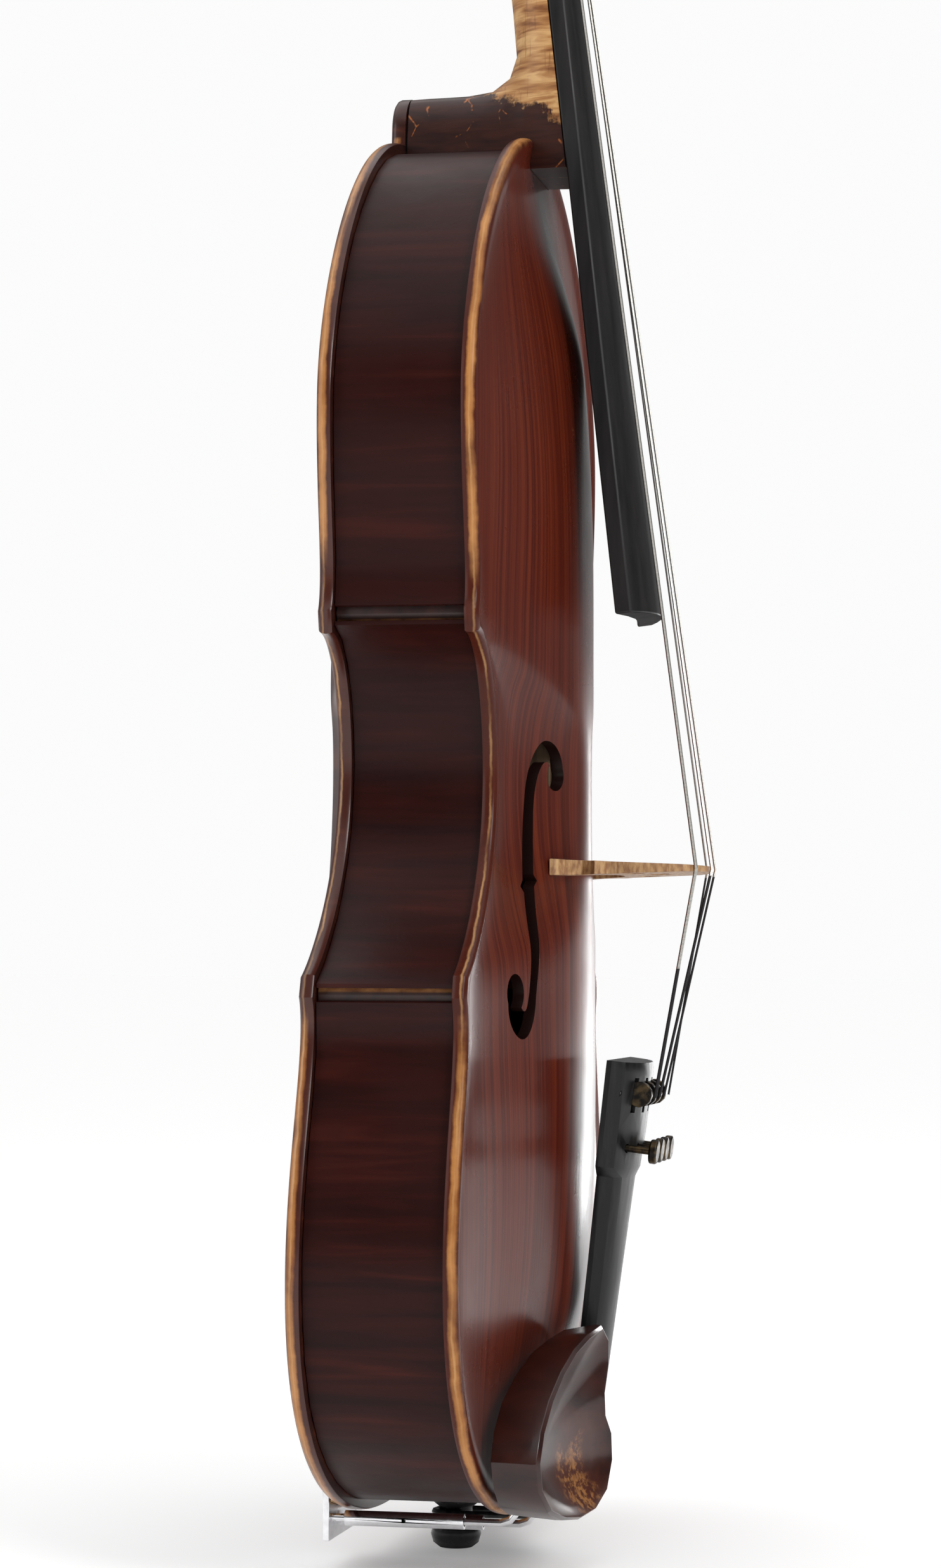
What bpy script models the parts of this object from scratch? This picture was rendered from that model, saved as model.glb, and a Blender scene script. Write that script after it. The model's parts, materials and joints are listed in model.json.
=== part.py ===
"""A sixteen inch viola, made as the separate pieces that come apart on a bench.

Metres, +Z up. The body stands upright with the scroll at the top. X runs across the
body with the treble side at +X. The belly faces -Y, and y = 0 is the plane where the
belly meets the ribs. z = 0 is the lower edge of the body.
"""
import math

import bmesh
import bpy
from mathutils import Matrix, Vector
from mathutils.bvhtree import BVHTree

MM = 0.001

# Clearance between touching pieces
GAP = 0.3 * MM

# Body outline: half widths and their heights above the lower edge
BODY_LENGTH = 406.0 * MM
LOWER_BOUT_HALF = 118.0 * MM
LOWER_BOUT_LEVEL = 78.0 * MM
LOWER_CORNER_HALF = 107.2 * MM
LOWER_CORNER_LEVEL = 153.6 * MM
WAIST_HALF = 66.5 * MM
WAIST_LEVEL = 212.5 * MM
UPPER_CORNER_HALF = 93.6 * MM
UPPER_CORNER_LEVEL = 254.0 * MM
UPPER_BOUT_HALF = 100.0 * MM
UPPER_BOUT_LEVEL = 317.0 * MM
CORNER_WIDTH = 6.6 * MM

# Plates and ribs
RIB_HEIGHT_LOW = 39.8 * MM
RIB_HEIGHT_TOP = 35.2 * MM
RIB_THICKNESS = 1.2 * MM
OVERHANG = 2.8 * MM
EDGE_THICKNESS = 4.3 * MM
CHANNEL_THICKNESS = 3.5 * MM
BEAD_WIDTH = 1.8 * MM
CHANNEL_REACH = 5.5 * MM
MARGIN_REACH = 7.0 * MM
BELLY_ARCH = 19.6 * MM
BACK_ARCH = 20.4 * MM
BELLY_THICKNESS = 3.0 * MM
BACK_THICKNESS = 3.6 * MM
ARCH_LOW_LEVEL = 70.0 * MM
ARCH_HIGH_LEVEL = 330.0 * MM
ARCH_PEAK_LEVEL = 165.0 * MM
ARCH_FALL = 2.2 * MM
LINING_THICKNESS = 2.0 * MM
LINING_HEIGHT = 7.5 * MM
LINING_CLEARANCE = 0.8 * MM
CORNER_BLOCK_LENGTH = 24.0 * MM
END_BLOCK_WIDTH = 50.0 * MM
END_BLOCK_DEPTH = 18.0 * MM
TOP_BLOCK_WIDTH = 54.0 * MM
TOP_BLOCK_DEPTH = 20.0 * MM
BASS_BAR_LENGTH = 268.0 * MM
BASS_BAR_THICKNESS = 5.5 * MM
BASS_BAR_DEPTH = 11.0 * MM
BASS_BAR_OFFSET = 19.0 * MM
SOUND_POST_RADIUS = 3.2 * MM
SOUND_POST_OFFSET = 20.0 * MM
SOUND_POST_SETBACK = 7.0 * MM

# Sound holes, on the treble side, as centres and radii of their round eyes
UPPER_EYE = (25.0 * MM, 214.5 * MM)
UPPER_EYE_RADIUS = 4.3 * MM
LOWER_EYE = (60.5 * MM, 151.5 * MM)
LOWER_EYE_RADIUS = 5.6 * MM

# Neck and fingerboard
NECK_LENGTH = 144.0 * MM
BOARD_RISE = 13.3 * MM
BOARD_ANGLE = math.radians(6.72)
NECK_ROOT_HALF = 16.0 * MM
NECK_NUT_HALF = 12.2 * MM
NECK_DEPTH_ROOT = 13.2 * MM
NECK_DEPTH_NUT = 11.0 * MM
FOOT_DEPTH = 10.5 * MM
HEEL_HEIGHT = 14.7 * MM
BUTTON_HALF = 11.0 * MM
BUTTON_HEIGHT = 15.0 * MM
BOARD_LENGTH = 289.0 * MM
BOARD_END_HALF = 21.2 * MM
BOARD_SIDE = 4.9 * MM
BOARD_RADIUS = 42.0 * MM
BOARD_HOLLOW = 2.6 * MM
NUT_LENGTH = 6.0 * MM
NUT_LIFT = 0.7 * MM

# Strings, bass to treble
STRING_RADII = (0.55 * MM, 0.46 * MM, 0.40 * MM, 0.34 * MM)
NUT_SPREAD = 16.0 * MM
BRIDGE_SPREAD = 36.0 * MM
STRING_CLEARANCES = (5.2 * MM, 4.9 * MM, 4.5 * MM, 4.0 * MM)

# Bridge
BRIDGE_LEVEL = 188.0 * MM
BRIDGE_FOOT_SPREAD = 50.0 * MM
BRIDGE_FOOT_WIDTH = 13.0 * MM
BRIDGE_THICKNESS_LOW = 4.8 * MM
BRIDGE_THICKNESS_TOP = 1.7 * MM

# Head
PEGBOX_ANGLE = math.radians(13.0)
PEGBOX_LENGTH = 72.0 * MM
PEGBOX_WALL = 5.0 * MM
PEGBOX_THROAT_HALF = 10.0 * MM
SCROLL_RADIUS = 19.5 * MM
SCROLL_EYE_HALF = 21.0 * MM
SCROLL_EYE_RADIUS = 4.0 * MM
PEG_RADIUS_THICK = 4.4 * MM
PEG_RADIUS_THIN = 3.8 * MM
PEG_FIRST = 15.0 * MM
PEG_PITCH = 15.0 * MM
PEG_DEPTH = 10.0 * MM
PEG_HEAD_HALF = 11.0 * MM
PEG_HEAD_LENGTH = 24.0 * MM

# Tailpiece and its built in fine tuners
TAILPIECE_LENGTH = 123.0 * MM
TAILPIECE_TOP_LEVEL = 132.0 * MM
TAILPIECE_LIFT_TOP = 30.0 * MM
TAILPIECE_LIFT_LOW = 15.6 * MM
TAILPIECE_HEAD_HALF = 22.0 * MM
TAILPIECE_TAIL_HALF = 10.0 * MM
TAILPIECE_HEIGHT = 8.6 * MM
TAILPIECE_WALL = 1.8 * MM
TAIL_STRING_PITCH = 9.4 * MM
LEVER_RADIUS = 3.8 * MM
LEVER_THICKNESS = 2.2 * MM
LEVER_SET = 9.0 * MM
TUNER_SET = 25.0 * MM
KNOB_RADIUS = 3.6 * MM
KNOB_THICKNESS = 2.4 * MM
TUNER_STEM_RADIUS = 1.1 * MM
TAIL_GUT_RADIUS = 1.0 * MM

# End button and saddle
END_BUTTON_HEAD_RADIUS = 7.5 * MM
END_BUTTON_HEAD_LENGTH = 13.0 * MM
END_BUTTON_PIN_RADIUS = 4.2 * MM
SADDLE_HALF = 17.0 * MM
SADDLE_DEPTH = 6.0 * MM
SADDLE_RISE = 3.4 * MM

# Chinrest and its clamp
CLAMP_OFFSET = 34.0 * MM
CLAMP_SPACING = 28.0 * MM
BARREL_RADIUS = 2.2 * MM
BARREL_LENGTH = 34.6 * MM
CLAMP_ROD_RADIUS = 1.5 * MM
CLAMP_TRAVEL = 6.0 * MM

PARTS = None
CUTTERS = None


def clear_scene():
    for item in list(bpy.data.objects):
        bpy.data.objects.remove(item, do_unlink=True)
    for group in list(bpy.data.collections):
        bpy.data.collections.remove(group)


def add_collection(name):
    group = bpy.data.collections.new(name)
    bpy.context.scene.collection.children.link(group)
    return group


def finish(item, colour, roughness=0.5, metallic=0.0, smooth=40):
    """Give a part its own material and smooth shading."""
    material = bpy.data.materials.new(item.name)
    material.use_nodes = True
    shader = material.node_tree.nodes["Principled BSDF"]
    shader.inputs["Base Color"].default_value = (*colour, 1.0)
    shader.inputs["Roughness"].default_value = roughness
    shader.inputs["Metallic"].default_value = metallic
    item.data.materials.clear()
    item.data.materials.append(material)
    if item.type == "MESH" and smooth:
        item.data.shade_smooth()
        item.data.set_sharp_from_angle(angle=math.radians(smooth))
    return item


def as_cutter(item):
    for group in list(item.users_collection):
        group.objects.unlink(item)
    CUTTERS.objects.link(item)
    item.hide_render = True
    item.display_type = "WIRE"
    return item


def mesh_object(name, form, group=None):
    """Put a bmesh into a new object, with its faces turned outward."""
    bmesh.ops.remove_doubles(form, verts=form.verts, dist=0.002 * MM)
    bmesh.ops.recalc_face_normals(form, faces=form.faces)
    data = bpy.data.meshes.new(name)
    form.to_mesh(data)
    form.free()
    item = bpy.data.objects.new(name, data)
    (group or PARTS).objects.link(item)
    return item


def loft(name, sections, group=None):
    """Skin a row of equal closed sections and close both ends."""
    form = bmesh.new()
    rings = [[form.verts.new(point) for point in section] for section in sections]
    count = len(rings[0])
    for first, second in zip(rings, rings[1:]):
        for i in range(count):
            j = (i + 1) % count
            form.faces.new((first[i], first[j], second[j], second[i]))
    form.faces.new(rings[0])
    form.faces.new(list(reversed(rings[-1])))
    return mesh_object(name, form, group)


def boolean(item, other, operation="DIFFERENCE"):
    """Cut or join with a hidden object; the modifier stays live."""
    as_cutter(other)
    step = item.modifiers.new(operation.title() + " " + other.name, "BOOLEAN")
    step.operation = operation
    step.solver = "EXACT"
    step.object = other
    return item


def box(name, low, high, group=None):
    """A block between two corners, made from the primitive cube."""
    low, high = Vector(low), Vector(high)
    form = bmesh.new()
    bmesh.ops.create_cube(form, size=1.0)
    size = high - low
    bmesh.ops.scale(form, vec=size, verts=form.verts)
    bmesh.ops.translate(form, vec=(low + high) / 2, verts=form.verts)
    return mesh_object(name, form, group)


def rod(name, start, end, radius, sides=16, end_radius=None, group=None):
    """A straight round bar, or a tapered one, between two points."""
    start, end = Vector(start), Vector(end)
    along = end - start
    form = bmesh.new()
    tip = radius if end_radius is None else end_radius
    bmesh.ops.create_cone(form, cap_ends=True, segments=sides, radius1=radius, radius2=tip, depth=along.length)
    turn = Vector((0, 0, 1)).rotation_difference(along).to_matrix().to_4x4()
    place = Matrix.Translation((start + end) / 2) @ turn
    bmesh.ops.transform(form, matrix=place, verts=form.verts)
    return mesh_object(name, form, group)


def turned(name, profile, place, sides=20, group=None):
    """Turn a profile of (radius, height) pairs about local Z, top to bottom."""
    data = bpy.data.meshes.new(name)
    points = [(radius, 0.0, height) for radius, height in profile]
    edges = [(i, i + 1) for i in range(len(points) - 1)]
    data.from_pydata(points, edges, [])
    item = bpy.data.objects.new(name, data)
    (group or PARTS).objects.link(item)
    spin = item.modifiers.new("Turn", "SCREW")
    spin.steps = sides
    spin.render_steps = sides
    spin.use_merge_vertices = True
    spin.merge_threshold = 0.00001
    spin.use_normal_calculate = True
    item.matrix_world = place
    return item


def tube(name, points, radius, resolution=2, group=None):
    """A round wire along points, with closed ends."""
    data = bpy.data.curves.new(name, "CURVE")
    data.dimensions = "3D"
    data.bevel_depth = radius
    data.bevel_resolution = resolution
    data.use_fill_caps = True
    line = data.splines.new("POLY")
    line.points.add(len(points) - 1)
    for knot, point in zip(line.points, points):
        knot.co = (*point, 1.0)
    item = bpy.data.objects.new(name, data)
    (group or PARTS).objects.link(item)
    return item


def flat_shape(name, loops, half_thickness, place):
    """A flat outline with holes, given thickness both ways and made a mesh."""
    data = bpy.data.curves.new(name, "CURVE")
    data.dimensions = "2D"
    data.fill_mode = "BOTH"
    data.extrude = half_thickness
    for loop in loops:
        line = data.splines.new("POLY")
        line.points.add(len(loop) - 1)
        for knot, point in zip(line.points, loop):
            knot.co = (point[0], point[1], 0.0, 1.0)
        line.use_cyclic_u = True
    source = bpy.data.objects.new(name + "_outline", data)
    PARTS.objects.link(source)
    bpy.context.view_layer.update()
    evaluated = source.evaluated_get(bpy.context.evaluated_depsgraph_get())
    solid = bpy.data.meshes.new_from_object(evaluated)
    bpy.data.objects.remove(source, do_unlink=True)
    form = bmesh.new()
    form.from_mesh(solid)
    bpy.data.meshes.remove(solid)
    bmesh.ops.remove_doubles(form, verts=form.verts, dist=0.002 * MM)
    bmesh.ops.transform(form, matrix=place, verts=form.verts)
    return mesh_object(name, form)


def bezier(start, pull, push, end, steps):
    """Points on one cubic arc, both ends included."""
    a, b, c, d = Vector(start), Vector(pull), Vector(push), Vector(end)
    points = []
    for i in range(steps + 1):
        t = i / steps
        u = 1 - t
        points.append(a * u**3 + b * 3 * u * u * t + c * 3 * u * t * t + d * t**3)
    return points


def mix(a, b, t):
    return a + (b - a) * t


def ease(t):
    """Smooth step from 0 to 1."""
    t = min(max(t, 0.0), 1.0)
    return t * t * (3 - 2 * t)


def rib_height(level):
    """Distance from the belly joint to the back joint at a height on the body."""
    return mix(RIB_HEIGHT_LOW, RIB_HEIGHT_TOP, level / BODY_LENGTH)


# Body outline, treble half, from the lower centre to the upper centre


def corner_points(half, level, upward):
    """The two ends of a corner's short outer face."""
    lean = Vector((-0.30, 0.95)) if upward else Vector((0.26, 0.96))
    middle = Vector((half, level))
    return middle - lean * CORNER_WIDTH / 2, middle + lean * CORNER_WIDTH / 2


def bout_curves(detail=1):
    """The lower, centre and upper bout lines of the treble half."""
    low_in, low_out = corner_points(LOWER_CORNER_HALF, LOWER_CORNER_LEVEL, True)
    up_in, up_out = corner_points(UPPER_CORNER_HALF, UPPER_CORNER_LEVEL, False)
    wide = Vector((LOWER_BOUT_HALF, LOWER_BOUT_LEVEL))
    waist = Vector((WAIST_HALF, WAIST_LEVEL))
    high = Vector((UPPER_BOUT_HALF, UPPER_BOUT_LEVEL))
    top = Vector((0.0, BODY_LENGTH))
    crown = top.y - high.y
    lower = bezier(
        (0, 0), (0.58 * wide.x, 0), (wide.x, 0.31 * wide.y), wide, 9 * detail
    )[:-1] + bezier(
        wide,
        wide + Vector((0, 0.46 * (low_in.y - wide.y))),
        low_in + Vector((-9.5 * MM, -14.0 * MM)),
        low_in,
        7 * detail,
    )
    centre = bezier(
        low_out,
        low_out + Vector((-11.2 * MM, 5.2 * MM)),
        waist + Vector((0.5 * MM, -30.0 * MM)),
        waist,
        7 * detail,
    )[:-1] + bezier(
        waist,
        waist + Vector((0, 17.5 * MM)),
        up_in + Vector((-16.5 * MM, -0.5 * MM)),
        up_in,
        6 * detail,
    )
    upper = bezier(
        up_out,
        up_out + Vector((-6.0 * MM, 11.0 * MM)),
        high + Vector((0, -29.0 * MM)),
        high,
        6 * detail,
    )[:-1] + bezier(
        high, high + Vector((0, 0.38 * crown)), (0.57 * high.x, top.y), top, 9 * detail
    )
    return lower, centre, upper


def offset_line(points, distance):
    """Shift a line sideways, to the left of its direction."""
    moved = []
    for i, point in enumerate(points):
        before = points[max(i - 1, 0)]
        after = points[min(i + 1, len(points) - 1)]
        ahead = (after - before).normalized()
        moved.append(point + Vector((-ahead.y, ahead.x)) * distance)
    return moved


def line_length(points):
    return sum((b - a).length for a, b in zip(points, points[1:]))


def point_along(points, distance):
    for a, b in zip(points, points[1:]):
        step = (b - a).length
        if distance <= step:
            return mix(a, b, distance / step)
        distance -= step
    return points[-1].copy()


def piece_of(points, start, end, count):
    """The stretch between two distances along a line, as evenly spaced points."""
    return [point_along(points, mix(start, end, i / count)) for i in range(count + 1)]


def crossing(first, second):
    """Distances along two lines at which they cross, or None."""
    travelled = 0.0
    for a, b in zip(first, first[1:]):
        passed = 0.0
        for c, d in zip(second, second[1:]):
            span, other, apart = b - a, d - c, c - a
            cross = span.x * other.y - span.y * other.x
            if abs(cross) > 1e-14:
                t = (apart.x * other.y - apart.y * other.x) / cross
                u = (apart.x * span.y - apart.y * span.x) / cross
                if 0 <= t <= 1 and 0 <= u <= 1:
                    return travelled + t * span.length, passed + u * other.length
            passed += other.length
        travelled += span.length
    return None


def extended(points, reach):
    """A line with both ends drawn on straight."""
    first = points[0] + (points[0] - points[1]).normalized() * reach
    last = points[-1] + (points[-1] - points[-2]).normalized() * reach
    return [first] + points + [last]


def distance_at_half(points, half):
    """Distance along a line to where it stands a given way out from the centre."""
    travelled = 0.0
    for a, b in zip(points, points[1:]):
        if (a.x - half) * (b.x - half) <= 0 and a.x != b.x:
            return travelled + (b - a).length * (half - a.x) / (b.x - a.x)
        travelled += (b - a).length
    return travelled


# Plates


def plate_outline(detail=1):
    """The whole plate edge as one closed loop, bass side mirrored from treble."""
    lower, centre, upper = bout_curves(detail)
    half = lower + centre + upper
    mirrored = [Vector((-p.x, p.y)) for p in reversed(half[1:-1])]
    return half + mirrored


def loop_inset(loop, distance):
    """Shift a closed loop inward, keeping its sharp corners."""
    moved = []
    count = len(loop)
    for i, point in enumerate(loop):
        back = (point - loop[i - 1]).normalized()
        ahead = (loop[(i + 1) % count] - point).normalized()
        normal = Vector((-back.y - ahead.y, back.x + ahead.x)).normalized()
        cosine = max(normal.x * -back.y + normal.y * back.x, 0.5)
        moved.append(point + normal * distance / cosine)
    return moved


def spine_point(point):
    """Where the arching drawn in from an edge point meets the centre line."""
    return Vector((0.0, mix(ARCH_LOW_LEVEL, ARCH_HIGH_LEVEL, point.y / BODY_LENGTH)))


def crown_height(level, arch):
    """Height of the arch along the centre line."""
    if level < ARCH_PEAK_LEVEL:
        reach = (ARCH_PEAK_LEVEL - level) / (ARCH_PEAK_LEVEL - ARCH_LOW_LEVEL)
    else:
        reach = (level - ARCH_PEAK_LEVEL) / (ARCH_HIGH_LEVEL - ARCH_PEAK_LEVEL)
    return arch - ARCH_FALL * reach**2


def plate_mesh(name, arch, thickness, joint, outward):
    """An arched plate: joint(z) gives its glue plane, outward is -1 belly, +1 back."""
    outline = plate_outline()
    edge_top = loop_inset(outline, BEAD_WIDTH)
    channel_start = [
        p + (spine_point(q) - p).normalized() * CHANNEL_REACH for p, q in zip(edge_top, outline)
    ]
    margin = [
        p + (spine_point(q) - p).normalized() * MARGIN_REACH for p, q in zip(edge_top, outline)
    ]
    spine = [spine_point(q) for q in outline]
    form = bmesh.new()
    rings = []

    def add_ring(points, heights):
        ring = []
        for point, height in zip(points, heights):
            ring.append(form.verts.new((point.x, joint(point.y) + outward * height, point.y)))
        rings.append(ring)

    def even(height):
        return [height] * len(outline)

    def arch_heights(t, below):
        share = (1 - math.cos(math.pi * t)) / 2
        return [mix(CHANNEL_THICKNESS, crown_height(s.y, arch), share) - below for s in spine]

    for t in (1.0, 0.66, 0.33):
        points = [mix(p, s, t) for p, s in zip(margin, spine)]
        sink = mix(CHANNEL_THICKNESS, thickness, ease(t * 2))
        add_ring(points, [max(h, GAP / 2) for h in arch_heights(t, sink)])
    add_ring(margin, even(GAP / 2))
    add_ring(loop_inset(outline, 0.5 * MM), even(GAP / 2))
    add_ring(outline, even(0.45 * EDGE_THICKNESS))
    add_ring(loop_inset(outline, 0.5 * MM), even(0.86 * EDGE_THICKNESS))
    add_ring(edge_top, even(EDGE_THICKNESS))
    add_ring(channel_start, even(CHANNEL_THICKNESS))
    for t in (0.2, 0.4, 0.6, 0.8, 1.0):
        points = [mix(p, s, t) for p, s in zip(channel_start, spine)]
        add_ring(points, arch_heights(t, 0.0))
    count = len(outline)
    for first, second in zip(rings, rings[1:]):
        for i in range(count):
            j = (i + 1) % count
            form.faces.new((first[i], first[j], second[j], second[i]))
    bmesh.ops.remove_doubles(form, verts=form.verts, dist=0.01 * MM)
    bmesh.ops.dissolve_degenerate(form, edges=form.edges, dist=0.01 * MM)
    return mesh_object(name, form)


def surface_reader(item):
    """A function that gives the y where a line along Y meets a plate, or its edge beyond it."""
    bpy.context.view_layer.update()
    form = bmesh.new()
    form.from_mesh(item.data)
    tree = BVHTree.FromBMesh(form)
    form.free()
    middle = RIB_HEIGHT_TOP / 2

    def read(x, z, outside=False, outward=-1):
        if outside:
            start = Vector((x, middle + outward * BODY_LENGTH / 2, z))
            hit = tree.ray_cast(start, Vector((0, -outward, 0)))[0]
        else:
            hit = tree.ray_cast(Vector((x, middle, z)), Vector((0, outward, 0)))[0]
        return outward * EDGE_THICKNESS if hit is None else hit.y

    return read


def joint_plane(level):
    """The belly's glue plane is flat."""
    return 0.0 * level


def belly_side(level):
    return joint_plane(level) + GAP / 2


def back_side(level):
    return rib_height(level) - GAP / 2


def make_plates():
    belly = plate_mesh("belly_plate", BELLY_ARCH, BELLY_THICKNESS, joint_plane, -1)
    back = plate_mesh("back_plate", BACK_ARCH, BACK_THICKNESS, rib_height, 1)
    finish(belly, (0.16, 0.035, 0.015), 0.28)
    finish(back, (0.10, 0.022, 0.012), 0.28)
    return belly, back


def make_button(back):
    """The round tongue of the back plate that the heel sits on."""
    base = BODY_LENGTH + BUTTON_HEIGHT - BUTTON_HALF
    root = BODY_LENGTH - 8 * MM
    outline = [Vector((-BUTTON_HALF, root))]
    for i in range(13):
        angle = math.pi - math.pi * i / 12
        outline.append(Vector((BUTTON_HALF * math.cos(angle), base + BUTTON_HALF * math.sin(angle))))
    outline.append(Vector((BUTTON_HALF, root)))

    def layer(lift, inset):
        middle = Vector((0, base))
        points = [p + (middle - p).normalized() * inset for p in outline]
        return [Vector((p.x, rib_height(p.y) + lift, p.y)) for p in points]

    tongue = loft(
        "button",
        [
            layer(0.6 * GAP, 0.0),
            layer(0.8 * EDGE_THICKNESS, 0.0),
            layer(EDGE_THICKNESS + 0.2 * MM, 1.2 * MM),
        ],
    )
    boolean(back, tongue, "UNION")


def eye_arc(centre, radius, start, end, steps):
    angles = [math.radians(mix(start, end, i / steps)) for i in range(steps + 1)]
    return [centre + Vector((math.cos(a), math.sin(a))) * radius for a in angles]


def sound_hole_outline():
    """The treble sound hole: two round eyes joined by a slit with two nicks."""
    upper, lower = Vector(UPPER_EYE), Vector(LOWER_EYE)
    middle = (upper + lower) / 2

    def from_upper(x, z):
        return upper + Vector((x, z)) * MM

    def from_middle(x, z):
        return middle + Vector((x, z)) * MM

    def from_lower(x, z):
        return lower + Vector((x, z)) * MM

    first_eye = eye_arc(upper, UPPER_EYE_RADIUS, 150, 405, 7)
    second_eye = eye_arc(lower, LOWER_EYE_RADIUS, -30, 225, 8)
    points = list(first_eye)
    points += bezier(
        first_eye[-1], from_upper(6.5, 6.5), from_upper(10.0, -0.5), from_upper(11.2, -10.5), 4
    )[1:]
    points += bezier(
        points[-1], from_upper(11.8, -16.5), from_middle(-4.5, 7.0), from_middle(-3.4, 2.6), 3
    )[1:]
    points += [from_middle(-4.8, 0.8), from_middle(-2.8, -0.8)]
    points += bezier(
        points[-1], from_middle(-1.3, -7.0), from_lower(-15.5, 8.5), from_lower(-13.5, -1.0), 4
    )[1:]
    points += bezier(
        points[-1], from_lower(-12.9, -9.0), from_lower(-7.5, -14.5), from_lower(-2.0, -12.5), 4
    )[1:]
    points += bezier(
        points[-1], from_lower(2.0, -11.1), from_lower(5.0, -7.5), second_eye[0], 3
    )[1:-1]
    points += second_eye
    points += bezier(
        second_eye[-1], from_lower(-8.0, -8.0), from_lower(-9.2, 0.5), from_lower(-10.5, 8.5), 4
    )[1:]
    points += bezier(
        points[-1], from_lower(-11.3, 14.5), from_middle(4.4, -7.0), from_middle(3.4, -2.8), 3
    )[1:]
    points += [from_middle(4.8, -1.0), from_middle(3.0, 0.8)]
    points += bezier(
        points[-1], from_middle(1.5, 7.0), from_upper(17.0, -14.5), from_upper(15.6, -6.5), 3
    )[1:]
    points += bezier(
        points[-1], from_upper(14.2, 2.0), from_upper(10.5, 10.1), from_upper(5.5, 10.1), 4
    )[1:]
    points += bezier(
        points[-1], from_upper(1.5, 10.1), from_upper(-3.0, 7.0), first_eye[0], 3
    )[1:-1]
    return points


# The sound hole is drawn in a plane and stands along Y
UPRIGHT = Matrix.Rotation(math.radians(90), 4, "X")


def cut_sound_holes(belly):
    depth = BELLY_ARCH + EDGE_THICKNESS
    for side, label in ((1, "treble"), (-1, "bass")):
        loop = [Vector((side * p.x, p.y)) for p in sound_hole_outline()]
        place = Matrix.Translation((0, -depth / 2 - GAP, 0)) @ UPRIGHT
        boolean(belly, flat_shape("sound_hole_" + label, [loop], depth / 2, place))


def cut_belly_seats(belly):
    """The notches in the belly's edge for the neck foot and the saddle."""
    boolean(belly, mortise_cutter("neck_notch"))
    seat = box(
        "saddle_notch",
        (-SADDLE_HALF - GAP, -EDGE_THICKNESS * 3, -EDGE_THICKNESS),
        (SADDLE_HALF + GAP, GAP, SADDLE_DEPTH + GAP),
    )
    boolean(belly, seat)


def heel_half(y):
    """Half width of the neck's heel, which narrows from the belly to the button."""
    reach = (y + BOARD_RISE) / (RIB_HEIGHT_TOP + BOARD_RISE)
    return mix(NECK_ROOT_HALF, BUTTON_HALF, reach)


def mortise_cutter(name):
    """The pocket for the neck root, wider at the belly than at the back."""
    low = BODY_LENGTH - FOOT_DEPTH - GAP
    high = BODY_LENGTH + HEEL_HEIGHT
    sections = []
    for y in (-2 * BOARD_RISE, RIB_HEIGHT_TOP * 1.2):
        half = heel_half(y) + GAP
        sections.append([Vector((x, y, z)) for x, z in ((-half, low), (half, low), (half, high), (-half, high))])
    return loft(name, sections)


def rib_lines(points, extra=0.0):
    """Outer and inner faces of the rib that stands inside an outline stretch."""
    return (
        offset_line(points, OVERHANG + extra),
        offset_line(points, OVERHANG + RIB_THICKNESS + extra),
    )


def make_ribs():
    """Six bent strips: the centre pair stops against the bout pairs at the corners."""
    lower, centre, upper = bout_curves()
    tip = OVERHANG - 0.4 * MM
    colour = (0.055, 0.014, 0.012)
    low_out, low_in = rib_lines(lower)
    up_out, up_in = rib_lines(upper)
    low_stop = extended(offset_line(lower, OVERHANG + RIB_THICKNESS + GAP), CORNER_WIDTH)
    up_stop = extended(offset_line(upper, OVERHANG + RIB_THICKNESS + GAP), CORNER_WIDTH)
    mid_lines = [extended(line, CORNER_WIDTH) for line in rib_lines(centre)]
    mid_out, mid_in = [
        piece_of(line, crossing(line, low_stop)[0], crossing(line, up_stop)[0], 13)
        for line in mid_lines
    ]
    low_out, low_in = [
        piece_of(line, distance_at_half(line, GAP / 2), line_length(line) - tip, 16)
        for line in (low_out, low_in)
    ]

    def upper_strip(side):
        """The heel side of an upper rib is cut to the heel's taper."""
        sides = []
        for line in (up_out, up_in):
            for y in (0.0, RIB_HEIGHT_TOP):
                end = distance_at_half(line, heel_half(y) + 2 * GAP)
                sides.append(piece_of(line, tip, end, 15))
        sections = []
        for a, b, c, d in zip(*sides):
            sections.append(
                [
                    Vector((side * a.x, belly_side(a.y), a.y)),
                    Vector((side * b.x, back_side(b.y), b.y)),
                    Vector((side * d.x, back_side(d.y), d.y)),
                    Vector((side * c.x, belly_side(c.y), c.y)),
                ]
            )
        return loft("rib_upper_" + SIDE_NAMES[side], sections)

    for side, label in SIDE_NAMES.items():
        low = strip("rib_lower_" + label, low_out, low_in, side)
        pin_hole = button_bore("button_bore_rib_" + label, GAP)
        boolean(low, pin_hole)
        finish(low, colour, 0.3)
        finish(strip("rib_centre_" + label, mid_out, mid_in, side), colour, 0.3)
        finish(upper_strip(side), colour, 0.3)


SIDE_NAMES = {1: "treble", -1: "bass"}


def strip(name, outer, inner, side, low=belly_side, high=back_side):
    """A standing strip between two lines of equal count."""
    sections = []
    for a, b in zip(outer, inner):
        sections.append(
            [
                Vector((side * a.x, low(a.y), a.y)),
                Vector((side * a.x, high(a.y), a.y)),
                Vector((side * b.x, high(b.y), b.y)),
                Vector((side * b.x, low(b.y), b.y)),
            ]
        )
    return loft(name, sections)


def button_bore(name, clearance):
    """Cutter for the end button's pin, through the lower ribs and the end block."""
    y = rib_height(0) / 2
    return rod(
        name,
        (0, y, -OVERHANG),
        (0, y, END_BLOCK_DEPTH * 2),
        END_BUTTON_PIN_RADIUS + clearance,
        sides=12,
    )


def block_face_lines():
    """Lines just inside the ribs, where the blocks and linings stand."""
    inset = OVERHANG + RIB_THICKNESS + 2 * GAP
    return [offset_line(line, inset) for line in bout_curves()]


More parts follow.
